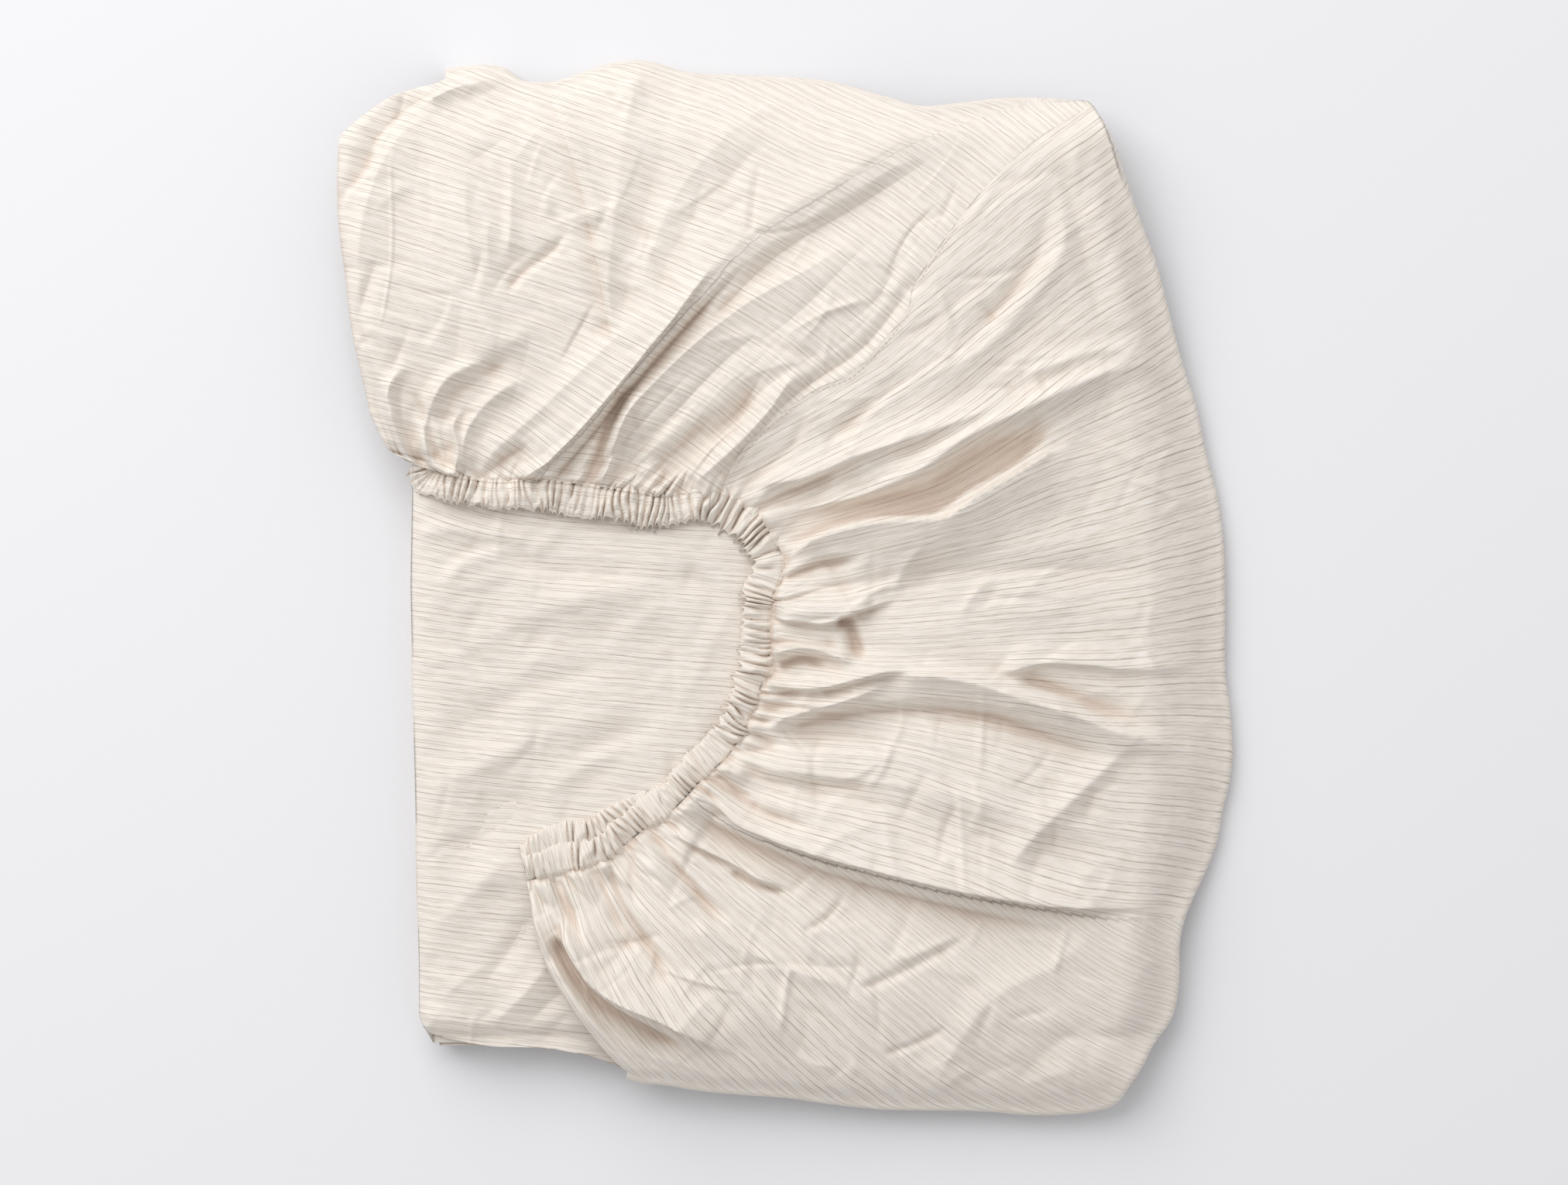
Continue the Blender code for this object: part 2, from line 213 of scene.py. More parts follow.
# Places on the cloth as seen from above, in mm, and the stripes' angle there in degrees
leftStripes = [
    (-201, 199, -16), (-183, 128, -14), (-148, 199, -19), (-130, 128, -13), (-94, 199, -19),
    (-76, 128, -21), (-41, 224, -17), (-5, 224, -29), (20, 203, -10), (-41, 182, -15), (-5, 182, -15),
    (-169, 92, -14), (-141, 85, -13), (-119, 64, -40), (-105, 85, -30), (-60, 130, -23), (-156, 142, -18),
    (-81, 208, -16), (-15, 208, -34), (7, 208, -28), (51, 208, -24), (20, 230, -33), (-120, 160, -18),
]
middleStripes = [
    (-5, 153, -25), (13, 128, -36), (-23, 110, -27), (-58, 85, -20), (-76, 74, -12), (-98, 53, -3),
    (31, 146, -39), (49, 171, -39), (67, 164, -43), (84, 182, -36), (102, 199, -43), (120, 210, -44),
    (24, 110, -41), (-5, 92, -42), (-23, 67, -45), (-41, 57, -35), (42, 186, -28), (73, 208, -34),
    (7, 164, -27),
]
rightStripes = [
    (102, 182, 48), (67, 146, 50), (49, 110, 52), (31, 92, 39), (-5, 57, 41), (84, 110, 48),
    (120, 128, 41), (138, 182, 35), (138, 153, 27), (156, 164, 43), (174, 128, 38), (120, 92, 48),
    (156, 71, 14), (184, 57, 11), (138, 57, 12), (84, 53, 37), (49, 57, 23), (13, 21, 15), (49, 24, 9),
    (67, 21, 12), (138, 3, 9), (174, 21, 15), (192, -15, 9), (31, -1, 18), (2, -2, -8), (84, -15, 1),
    (49, -15, -3), (6, -24, -18), (17, -30, -16), (67, -26, 2), (11, -43, -3), (2, -52, -7),
    (38, -58, -11), (120, -43, -12), (156, -51, -3), (192, -43, 0), (67, -61, -15), (95, -72, -17),
    (13, -68, 3), (-5, -83, -16), (31, -86, -6), (67, -90, -29), (102, -86, -24), (138, -86, -16),
    (156, -104, -11), (174, -86, -4), (195, -86, -14), (-19, -97, -35), (-5, -104, -26), (31, -115, -23),
    (67, -126, -20), (102, -133, -22), (138, -140, -16), (181, -129, -15), (-30, -72, -40),
    (-19, -51, -15), (95, 164, 48), (130, 142, 38), (108, 98, 46), (152, 186, 44), (161, 120, 37),
    (117, 76, 34), (174, 98, 34), (95, 120, 47), (95, 76, 40), (20, 54, 33), (95, -144, -28),
    (152, -34, 2), (108, -34, 8), (117, -56, -22), (29, 76, 39),
]
frontStripes = [
    (-33, -140, -41), (-5, -129, -26), (17, -140, -31), (38, -140, -39), (49, -158, -36), (-5, -158, -40),
    (13, -193, -49), (-23, -193, -50), (-41, -176, -53), (-58, -158, -44), (-76, -176, -64),
    (-87, -151, -68), (-101, -147, -76), (67, -193, -38), (102, -158, -40), (138, -154, -40),
    (120, -193, -34), (156, -158, -26), (170, -190, -17), (156, -211, -23), (138, -229, -24),
    (102, -229, -29), (31, -229, -41), (-5, -222, -47), (-112, -158, -65), (-98, -186, -57),
    (-80, -211, -48), (-58, -222, -42), (-48, -115, -29), (-66, -190, -55), (84, -212, -34),
    (40, -210, -42),
]
packetStripes = [
    (-170, 0, -6), (-110, 0, -4), (-60, 10, -4), (-120, -120, -6), (-150, -190, -7), (-165, 35, -22),
]
fieldCell = 4 * mm
fieldReach = metres([224, 264])
stripeFit = {
    "hintReach": 12 * mm,  # how far each hint counts in full, then how fast it fades
    "hintFade": 1.6,
    "hemCrowding": 1.2,  # how much closer the stripes of the gathered cloth stand at the hem
    "crowdingReach": 22 * mm,
    "spacing": (0.8, 2.2),  # least and most, as shares of the even spacing
    "rounds": 40,
}


def stripeField(hints, crowded=False):  # distances along and across the stripes
    x = np.arange(-fieldReach[0], fieldReach[0], fieldCell)
    y = np.arange(-fieldReach[1], fieldReach[1], fieldCell)
    places = np.stack(np.meshgrid(x, y, indexing="ij"), axis=-1)
    table = np.array(hints, dtype=float)
    gap = ((places[..., None, :] - table[:, :2] * mm) ** 2).sum(-1)
    weight = 1 / (gap + stripeFit["hintReach"] ** 2) ** stripeFit["hintFade"]
    angle = np.radians((weight * table[:, 2]).sum(-1) / weight.sum(-1))
    even = np.ones_like(angle)
    if crowded:
        fromHem = np.abs(fromLine(places, hemEdge, 2)[0])
        even += stripeFit["hemCrowding"] * np.exp(-fromHem / stripeFit["crowdingReach"])
    along = potential(np.cos(angle), np.sin(angle))
    spacing, (least, most) = even, stripeFit["spacing"]
    for _ in range(stripeFit["rounds"]):  # the spacing varies, so that the directions come nearer the hints
        across = potential(-np.sin(angle) * spacing, np.cos(angle) * spacing)
        slopeX, slopeY = np.gradient(across, fieldCell)
        spacing = np.clip(np.cos(angle) * slopeY - np.sin(angle) * slopeX, least * even, most * even)
    return np.stack([along, across], axis=-1)


def potential(slopeX, slopeY):  # the map whose slopes come nearest the given ones, by mirrored Fourier sums
    slopeX = np.concatenate([slopeX, -slopeX[::-1]], axis=0)
    slopeX = np.concatenate([slopeX, slopeX[:, ::-1]], axis=1)
    slopeY = np.concatenate([slopeY, slopeY[::-1]], axis=0)
    slopeY = np.concatenate([slopeY, -slopeY[:, ::-1]], axis=1)
    waveX = 2j * math.pi * np.fft.fftfreq(slopeX.shape[0], fieldCell)[:, None]
    waveY = 2j * math.pi * np.fft.fftfreq(slopeX.shape[1], fieldCell)[None, :]
    size = np.abs(waveX) ** 2 + np.abs(waveY) ** 2
    size[0, 0] = 1
    total = -(waveX * np.fft.fft2(slopeX) + waveY * np.fft.fft2(slopeY)) / size
    half = [count // 2 for count in slopeX.shape]
    return np.real(np.fft.ifft2(total))[:half[0], :half[1]]


def onField(field, points):  # a map's values at points in plan
    place = (points[..., :2] + fieldReach) / fieldCell
    low = np.clip(np.floor(place).astype(int), 0, np.array(field.shape[:2]) - 2)
    part = np.clip(place - low, 0, 1)[..., None]
    i, j = low[..., 0], low[..., 1]
    lower = mixed(field[i, j], field[i + 1, j], part[..., 0, :])
    upper = mixed(field[i, j + 1], field[i + 1, j + 1], part[..., 0, :])
    return mixed(lower, upper, part[..., 1, :])


# The folded packet

packet = {
    "layersBelow": 13,
    "layerPitch": 1.8 * mm,
    "floorGap": 0.6 * mm,
    "topGap": 1.0 * mm,  # air under the top layer
    "back": 198 * mm,
    "front": -206 * mm,
    "swell": 0.08,
    "shoulder": 0.3,  # how much lower the stack is right at its left and front edges
    "shoulderReach": 5 * mm,
    "droopReach": 38 * mm,
    "droopStart": 3 * mm,
    "frontDroopStart": 12 * mm,
    "wrinkleFade": 0.6,
    "ripples": ((0.9, 34, 26, 11), (0.6, 15, 11, 12)),  # height, size along X and Y in mm, seed
}
# The packet's left and right folds as seen from above, in mm: place along Y, then X
leftFold = metres([
    (198, -171), (120, -172), (0, -174), (-90, -172), (-180, -170), (-197, -170), (-203, -168),
    (-206, -164),
])
rightFold = metres([(198, 136), (120, 148), (0, 162), (-90, 160), (-180, 150), (-206, 146)])
# From the top down: how far in each side's turns lie, and how far out each layer's front edge stands
leftInsets = metres([0, 2.5, 0.8, 3.2, 1.2, 2.2, 0.5])
rightInsets = metres([4, 8, 1, 5, 2, 9, 6])
frontSteps = metres([4, 1.5, 5.5, 3, 0.5, 4.5, 2, 5, 1, 3.5, 2.5, 4, 1.5])
topLayerFront = metres([
    (-74, -226), (-81, -223), (-89, -220), (-97, -217.5), (-112, -214.5), (-123, -213.5), (-138, -212.5),
    (-152, -210), (-168, -206),
])

# Wrinkles of the packet's top layer: height and half width in mm, then the line
wrinkles = [
    (2.2, 8, [(-176, 22), (-160, 26), (-140, 25), (-112, 20)]),
    (-1.2, 5, [(-162, 8), (-146, 16), (-126, 21)]),
    (1.4, 7, [(-158, 0), (-146, 12), (-128, 18)]),
    (-1.6, 10, [(-130, 12), (-100, 6), (-60, 4), (-30, 0)]),
    (1.5, 16, [(-165, -38), (-120, -16), (-70, 0), (-48, 8)]),
    (-1.2, 14, [(-160, -70), (-115, -46), (-70, -32)]),
    (1.6, 15, [(-165, -96), (-120, -72), (-70, -52)]),
    (-1.3, 10, [(-100, -78), (-80, -70), (-58, -62)]),
    (1.2, 9, [(-112, -96), (-92, -82), (-72, -72)]),
    (-1.2, 16, [(-160, -130), (-134, -108), (-118, -92)]),
    (1.5, 14, [(-166, -160), (-140, -136), (-124, -118)]),
    (-1.2, 9, [(-140, -184), (-128, -168), (-116, -150)]),
    (1.2, 8, [(-134, -200), (-118, -184), (-108, -170)]),
    (-1.0, 7, [(-120, -202), (-108, -190), (-98, -184)]),
    (0.8, 10, [(-168, -196), (-150, -200), (-130, -201)]),
]


def swellAt(x, y):  # slow unevenness shared by every layer
    return 0.5 * np.sin(x / 0.052 + 1.3) * np.cos(y / 0.075) + 0.5 * np.sin(y / 0.061 - x / 0.11)


def foldAt(fold, y):
    return np.interp(-y, -fold[:, 0], fold[:, 1])


def layerHeight(x, y, layer):
    stacked = (packet["layersBelow"] - layer) * packet["layerPitch"]
    inside = np.minimum(x - foldAt(leftFold, y), y - packet["front"])
    edge = np.exp(-np.clip(inside, 0, None) / packet["shoulderReach"])
    stacked = stacked * (1 - packet["shoulder"] * edge)
    full = packet["layersBelow"] * packet["layerPitch"] + packet["floorGap"]
    return packet["floorGap"] + stacked * (1 + packet["swell"] * swellAt(x, y) * stacked / full)


def topHeight(points):  # the top layer over the packet, drooping to the floor past its edges
    x, y = points[..., 0], points[..., 1]
    insideY = np.clip(y, packet["front"] - packet["frontDroopStart"], packet["back"] + packet["droopStart"])
    left = foldAt(leftFold, insideY) - packet["droopStart"]
    right = foldAt(rightFold, insideY) + packet["droopStart"]
    past = np.hypot(x - np.clip(x, left, right), y - insideY)
    low = 2 * packet["floorGap"]
    height = layerHeight(x, y, 0) + packet["topGap"]
    return height + (low - height) * smoothStep(past / packet["droopReach"])


def wrinkled(points):  # how far the top layer's wrinkles stand over it
    height = np.zeros(points.shape[:-1])
    for rise, width, line in wrinkles:
        distance, share, _ = fromLine(points, metres(line))
        fade = np.sin(math.pi * np.clip(share, 0, 1)) ** packet["wrinkleFade"]
        height += rise * mm * bump(distance, width * mm, width * mm) * fade
    return height + rippled(points, packet["ripples"])


# The pocket in plan

rim = metres([
    (-158, 239.5), (-146, 241), (-137, 241.3), (-130, 239.5), (-125.5, 236), (-121, 233.5), (-113, 233),
    (-107, 233.5), (-101, 235.5), (-94, 238), (-86, 241), (-76, 243), (-66, 243.3), (-58, 241.5),
    (-49, 238.5), (-38, 237), (-24, 236.5), (0, 235.5), (12, 234.5), (24, 232.5), (37, 228.5), (48, 225),
    (58, 221.5), (67, 221), (83, 223), (100, 225), (117, 225), (129, 224), (138, 222.5), (143, 217),
    (149, 205), (154, 191), (159, 177), (165, 162), (170, 149), (176, 127), (182, 105), (189, 84),
    (193.5, 63), (199, 42), (202, 21), (202.5, 0), (202.7, -14), (202.5, -28), (203, -42), (205, -55),
    (206, -70), (206, -80), (204.5, -92), (201.5, -104), (199.5, -116), (194.5, -130), (188, -143),
    (183, -155), (181, -166), (181, -180), (180, -190), (177, -200), (169, -211), (164, -220),
    (158, -229), (152, -238), (144, -241.5), (130, -243.5), (110, -243.8), (90, -242), (60, -241.5),
    (42, -241), (20, -238.5), (0, -235.5), (-20, -234), (-40, -232), (-58, -229), (-66, -228.5),
    (-74, -226),
])
hemEdge = metres([
    (-176, 52), (-170, 44), (-160, 39), (-148, 36), (-131, 34), (-112, 34), (-89, 31), (-63, 27),
    (-53, 27), (-43, 29), (-34, 29), (-24, 22), (-18, 14), (-16, 9), (-21, -4), (-22, -20),
    (-22, -33), (-25, -43), (-30, -56), (-37, -69), (-47, -78), (-60, -92), (-73, -101),
    (-89, -113), (-105, -118), (-122, -122),
])
leftSide = metres([
    (-167, 58), (-177, 60), (-183, 63), (-187, 70), (-191, 79), (-193, 89), (-197, 106), (-200, 123),
    (-202, 140), (-204.5, 158), (-206, 175), (-206.3, 192), (-206, 205), (-203, 210.5), (-197, 217),
    (-191, 223), (-186, 228), (-177, 233.5), (-168, 237), (-158, 239.5),
])
frontSide = metres([
    (-119, -135), (-115, -158), (-109, -176), (-99, -192), (-90, -205), (-81, -217), (-74, -226),
])
seamLine = metres([
    (-32, 40), (-26, 52), (-18, 64), (-4, 77), (15, 90), (31, 97), (47, 113), (57, 126), (60, 137),
    (75, 159), (93, 182), (112, 201), (125, 211), (140, 221),
])
# Where each rib of the pocket starts on the hem and ends on the rim, as shares of their lengths
ribs = np.array([
    (0.000, 0.000), (0.101, 0.063), (0.147, 0.114), (0.194, 0.230), (0.289, 0.262), (0.363, 0.288),
    (0.404, 0.302), (0.448, 0.375), (0.492, 0.460), (0.575, 0.552), (0.638, 0.608), (0.756, 0.687),
    (0.851, 0.778), (0.927, 0.885), (1.000, 1.000),
])
pocket = {
    "startHeight": 6.2 * mm,  # of the skirt at the casing, over the layer under it
    "loft": 8 * mm,
    "fall": 4,  # how late the cloth falls from the hem's height to the rim's
    "rimFade": 0.08,  # last share of the way out, where folds and crumple end
    "sideFade": 0.12,  # share of the way out over which the side roll and the hollows' tint come in
    "rimRadius": 3.6 * mm,
    "rimSoftness": 2.5,  # how much more gently the cloth bends over the packet's edge near the rim
    "softFrom": (0.6, 0.25),  # share of the way out where that starts, and how long it comes in
    "sideRoll": 7 * mm,
    "sideBias": 7,  # higher keeps an open side's curve closer to that side
    "tuck": 1.2 * mm,  # how far the skirt reaches under the casing's stitched edge
    "foldScale": 1.35,
    "seamShares": (0.404, 0.302),  # where the corner seam meets the hem and the rim
    "seamReach": 0.07,  # how far to each side, as a share of the hem, the seam's bends are felt
    "leftColumns": 380,
    "rightColumns": 540,
    "rows": 170,
    "rimRows": 7,
}
seamColumn = sum(pocket["seamShares"]) / 2
# Width of the gathered casing: share along the hem, then mm
casingWidths = np.array([
    (0, 13.5), (0.15, 15.5), (0.3, 16.5), (0.42, 15.5), (0.6, 15), (0.8, 14), (1, 13.5),
])
hemCurve, rimCurve = curveThrough(hemEdge), curveThrough(rim)
leftCurve, frontCurve, seamCurve = curveThrough(leftSide), curveThrough(frontSide), curveThrough(seamLine)


def hemShare(column):
    return np.interp(column, ribs.mean(axis=1), ribs[:, 0])


def skirtStart(column):
    return np.interp(hemShare(column), *casingWidths.T) * mm - pocket["tuck"]


def hemPoint(column, inward):
    share = hemShare(column)
    return atShare(hemCurve, share) + leftNormal(hemCurve, share) * np.asarray(inward)[..., None]


def rimPoint(column, inward):
    share = np.interp(column, ribs.mean(axis=1), ribs[:, 1])
    return atShare(rimCurve, share) - leftNormal(rimCurve, share) * np.asarray(inward)[..., None]


def sidePull(out, curve, start, end):  # how far a curved side stands off the straight line between its ends
    return atShare(curve, out) - mixed(start, end, out[..., None])


def skirtPlan(column, out):
    start, end = hemPoint(column, skirtStart(column)), rimPoint(column, pocket["rimRadius"])
    point = mixed(start, end, out[..., None])
    reach = np.abs(column - seamColumn) / pocket["seamReach"]
    beforeRim = 1 - out**12
    sides = [
        (leftCurve, 0.0, (1 - column) ** pocket["sideBias"] * beforeRim),
        (frontCurve, 1.0, column ** pocket["sideBias"] * beforeRim),
        (seamCurve, seamColumn, 1 - smoothStep(reach)),
    ]
    for curve, place, weight in sides:
        place = np.array([place])
        first, last = hemPoint(place, skirtStart(place)), rimPoint(place, pocket["rimRadius"])
        point = point + sidePull(out, curve, first, last) * weight[..., None]
    return point


def sideDrop(point):  # how far the cloth rolls down beside the pocket's two open sides
    drop = np.zeros(point.shape[:-1])
    for side in (leftSide, frontSide):
        edge = np.abs(fromLine(point, side, 4)[0])
        inside = 1 - np.clip(edge / pocket["sideRoll"], 0, 1)
        drop += pocket["sideRoll"] * (1 - np.sqrt(1 - inside**2))
    return drop


# The pocket's folds, from hem to rim, in mm: height, width behind, width in front, crest line. A height
# under zero is a hollow. Front is the right-hand side as the line runs outwards, and a fold with a
# fourth size hangs over to that side by so much.
folds = [
    ("left roll", 2.5, 9, 20, [(-168, 60), (-188, 100), (-195, 135), (-193, 170), (-178, 205),
      (-150, 226)]),
    ("corner band", -2.6, 10, 3.5, [(-205, 168), (-203, 179), (-196, 186), (-190.5, 195.5),
      (-187.7, 205), (-177, 217), (-165.5, 225), (-152, 234)]),
    ("rolled corner", 4.5, 3, 8, [(-166, 222), (-152, 229), (-142, 232), (-133, 235), (-126, 238)]),
    ("pressed line", 0.7, 1.2, 1.5, [(-181, 196), (-180, 155), (-183, 129), (-187, 112)]),
    ("left hollow", -1.6, 5, 7, [(-192, 107), (-195, 122), (-190, 140), (-186, 152)]),
    ("puff", 4.5, 7, 6, [(-169, 54), (-178, 70), (-182, 86), (-177, 97), (-168, 99)]),
    ("puff dent", -2.4, 4, 5, [(-160, 56), (-164, 70), (-167, 82), (-173, 90)]),
    ("puff valley", -1.2, 9, 6, [(-160, 84), (-150, 89), (-140, 95), (-122, 108)]),
    ("left swell", 4, 34, 26, [(-130, 99), (-140, 132), (-146, 167), (-146, 203)]),
    ("left crease", -2.2, 9, 2, [(-80, 100), (-84, 129), (-87, 146), (-91, 166), (-95, 182), (-99, 196),
      (-105.5, 213), (-112, 231), (-126, 268)]),
    ("crease lip", 1.8, 2, 10, [(-79, 116), (-83, 146), (-90, 180), (-101, 212), (-107, 231),
      (-121, 268)]),
    ("back ridge", 1.4, 10, 10, [(-83, 118), (-81, 146), (-78, 174), (-75, 203), (-70, 236), (-66, 256)]),
    ("back valley", -1.1, 12, 12, [(-80, 110), (-74, 132), (-69, 153), (-63, 178), (-58, 199),
      (-50, 236), (-44, 262)]),
    ("back swell", 1.6, 13, 12, [(-67, 128), (-63, 150), (-52, 176), (-34, 200), (-8, 222), (24, 244)]),
    ("back fall", -1, 9, 12, [(-63, 126), (-54, 150), (-39, 174), (-17, 196), (16, 220)]),
    ("back nick", -1.5, 3, 3, [(-18, 162), (-16, 178), (-13, 195)]),
    ("soft crease", -2.2, 5, 4, [(-128, 134), (-120.5, 143), (-106.6, 154), (-98, 165)]),
    ("soft rib", 1.6, 5, 8, [(-127, 150), (-126, 170), (-126, 190), (-128, 206)]),
    ("hem fold", 5, 6, 4, [(-152, 48), (-150, 62), (-152, 74), (-146, 82)]),
    ("great overlap", 3.4, 34, 26, 2, [(-116, 45), (-110, 57), (-94, 74), (-76, 96), (-58, 117),
      (-41, 135), (-23, 155), (-5, 169), (13, 180), (31, 191), (63, 208), (110, 224)]),
    ("overlap edge", 5.5, 18, 5, 5, [(-118, 44), (-108, 58), (-90, 78), (-68, 104), (-46, 130),
      (-24, 152)]),
    ("overlap roll", 2.2, 9, 7, [(-141, 55), (-112, 82), (-80, 114), (-62, 131)]),
    ("overlap dent", -1.8, 6, 7, [(-131, 50), (-107, 70), (-80, 99), (-56, 125)]),
    ("overlap shade", -6, 3, 8, [(-112, 40), (-98, 60), (-76, 86), (-56, 109), (-36, 131), (-14, 152)]),
    ("under ridge", 4, 6, 16, [(-84, 58), (-76, 74), (-64, 90), (-44, 109), (-20, 128), (10, 145),
      (36, 162)]),
    ("overlap foot", -4, 8, 24, [(-39, 117), (-5, 151), (34, 175), (70, 198)]),
    ("left puff", 4.5, 8, 9, [(-163, 55), (-165, 74), (-154, 95), (-131, 104)]),
    ("second puff", 4, 7, 8, [(-148, 52), (-146, 71), (-133, 87), (-116, 96)]),
    ("near dent", -6, 5, 4, [(-93, 39), (-86, 61), (-77, 86), (-69, 97)]),
    ("near ridge", 5, 5, 6, [(-87, 39), (-80, 60), (-71, 84), (-63, 95)]),
    ("zigzag", 2, 4, 4, [(-65, 39), (-71, 49), (-58, 57)]),
    ("seam hollow", -6.5, 12, 8, [(-61, 49), (-42, 64), (-23, 79), (-9, 101)]),
    ("seam lobe", 5, 9, 11, [(-45, 45), (-23, 64), (-5, 84), (8, 106)]),
    ("seam side", -2.5, 7, 5, [(-35, 46), (-14, 70), (6, 89), (34, 108), (52, 130), (67, 151)]),
    ("right valley", -3, 8, 11, [(13, 62), (49, 90), (82, 112), (100, 130), (112, 148), (118, 166),
      (124, 192)]),
    ("valley crest", 2, 9, 14, [(59, 92), (87, 107), (103, 122), (117, 138), (126, 154), (126, 170),
      (131, 190)]),
    ("leaf", -2.6, 17, 9, [(129, 190), (132, 170), (136, 150), (141, 132), (144, 112)]),
    ("lit triangle", 3, 8, 8, [(108, 96), (130, 104), (150, 108), (170, 103)]),
    ("valley rib", 2.2, 7, 10, [(31, 71), (63, 99), (99, 124), (118, 145), (138, 159)]),
    ("right band", 4.5, 14, 5, [(-18, 46), (7, 49), (28, 58), (52, 66), (80, 76), (113, 92)]),
    ("right ridge", 7, 9, 13, 1, [(-9, 31), (15, 37), (33, 41), (50, 48), (65, 56), (84, 69), (117, 85),
      (144, 97), (164, 101), (179, 95), (190, 85)]),
    ("right groove", -16, 26, 3, [(-3, 18), (14, 26.5), (37, 33), (62, 34.5), (70, 37), (83, 46),
      (101, 56), (112, 64), (126, 76)]),
    ("right lobe", 8.5, 3.5, 26, -3, [(-4, 13), (16, 23), (38, 29), (65, 30.5), (73, 32), (86, 41),
      (103, 51), (116, 61), (136, 73)]),
    ("lobe shade", -3, 14, 20, [(49, 6), (84, 7), (138, 8), (186, 6)]),
    ("lobe hem", 6.5, 22, 4, 2, [(-8, -15), (6, -16), (17, -17), (26, -14), (34, -11), (51, -7)]),
    ("hook", -6, 5, 7, [(22, -15), (28, -17), (31, -24), (34, -35)]),
    ("lens", -4.5, 4, 4, [(-3, -37), (6, -33), (18, -36)]),
    ("pinched ridge", 5, 6, 4, [(-8, -31), (6, -28), (17, -30), (34, -37)]),
    ("long ridge", 6.5, 12, 4, 1, [(-13, -43), (-1, -46), (17, -46), (42, -40), (61, -39)]),
    ("branch root", 6, 8, 6, [(-9, -66), (-1, -60), (17, -55), (35, -49), (47, -43)]),
    ("branch hollow", -6.5, 7, 20, [(-5, -68), (17, -61), (49, -57), (88, -59), (124, -71), (156, -83)]),
    ("lower branch", 7, 10, 13, [(45, -41), (67, -41), (88, -45), (109, -52), (131, -59), (152, -67),
      (174, -72), (195, -77)]),
    ("upper hollow", -3.5, 8, 6, [(104, -41), (117, -45), (134, -52), (152, -59), (178, -66)]),
    ("upper lobe", 4, 14, 4, 1, [(94, -41), (106, -38), (118, -35), (138, -36), (152, -38), (174, -38),
      (197, -36)]),
    ("front lobe", 3, 22, 20, [(-19, -81), (17, -86), (67, -93), (120, -108), (174, -126)]),
    ("small dent", -2.5, 6, 8, [(-21, -81), (-10, -88), (17, -91), (49, -93)]),
    ("front overlap", 8, 26, 7, 6, [(-45, -93), (-32, -103), (-18, -111), (8, -121), (34, -128),
      (74, -138), (106, -144), (140, -149), (164, -151), (186, -150)]),
    ("front groove", -6, 4, 26, [(-46, -105), (-30, -112), (-10, -121), (17, -131), (52, -141),
      (102, -153), (138, -159)]),
    ("front facet", 2.6, 15, 20, [(64, -236), (74, -216), (84, -200), (98, -185), (122, -173),
      (152, -148)]),
    ("facet hollow", -2, 14, 18, [(104, -228), (122, -210), (146, -196), (172, -186)]),
    ("swell line", 2.6, 7, 10, [(-44, -152), (-19, -166), (7, -176), (30, -184)]),
    ("swell line end", -1.8, 4, 5, [(32, -184), (47, -178), (71, -166), (86, -158)]),
    ("upright crease", 1.5, 3, 4, [(2, -172), (-0.5, -184), (-3, -206)]),
    ("low crease", -1.3, 3, 4, [(44, -214), (58, -209), (74, -201)]),
    ("dark crease", -3, 3, 3, [(-26, -130), (-14, -136), (2, -141)]),
    ("lit crease", 1.3, 2.5, 3, [(128, -155), (125, -166), (121, -179)]),
    ("corner facet", 3.5, 16, 9, [(100, -127), (118, -109), (134, -94), (150, -79), (166, -64)]),
    ("rim facet", 1.6, 5, 8, [(160, -20), (172, -44), (184, -62)]),
    ("second edge", 5, 12, 4, 2, [(-54, -112), (-41, -119), (-26, -126), (-12, -134), (3, -140)]),
    ("crescent", -1.6, 3, 3, [(7, -158), (17, -152), (24, -144), (27, -137)]),
    ("front swell", 5, 24, 22, [(-72, -118), (-48, -151), (-19, -186), (9, -218)]),
    ("front hollow", -5, 5, 8, [(-81, -126), (-79, -136), (-75, -146), (-70, -154), (-62, -166),
      (-52, -184)]),
    ("strip overlap", 11, 20, 3, 3, [(-107, -152), (-97, -171), (-88, -182), (-76, -190), (-58, -198),
      (-42, -207), (-24, -219)]),
    ("strip slit", -10, 3, 12, [(-107, -158), (-99, -173), (-90, -185), (-78, -194), (-60, -204),
      (-40, -215)]),
    ("strip ridge", 3, 4, 6, [(-119, -140), (-113, -158), (-104, -176), (-93, -193), (-81, -208),
      (-66, -221)]),
    ("end dent", -3, 3, 4, [(-118, -132), (-115, -139), (-108, -150)]),
    ("hem nook", -4, 4, 9, [(-146, 34), (-140, 48), (-130, 58), (-114, 70)]),
    ("first tuck", -4.5, 4, 8, [(-66, 26), (-58, 46), (-46, 64), (-30, 82)]),
    ("second tuck", -4, 3, 7, [(-30, 22), (-14, 34), (8, 46), (32, 56)]),
    ("third tuck", -4.5, 3, 7, [(-22, -2), (-4, 3), (16, 9), (38, 13)]),
    ("fourth tuck", -4, 3, 6, [(-26, -48), (-10, -53), (8, -56), (30, -60)]),
    ("fifth tuck", -4.5, 4, 8, [(-46, -74), (-28, -88), (-8, -100), (18, -108)]),
    ("sixth tuck", -4.5, 4, 8, [(-72, -98), (-58, -118), (-44, -136), (-26, -156)]),
    ("seventh tuck", -4, 3, 6, [(-92, -110), (-86, -132), (-78, -152), (-66, -170)]),
    ("eighth tuck", -4, 3, 5, [(-108, -118), (-103, -138), (-97, -152), (-88, -168)]),
]
foldLines = {name: line for name, *_, line in folds}
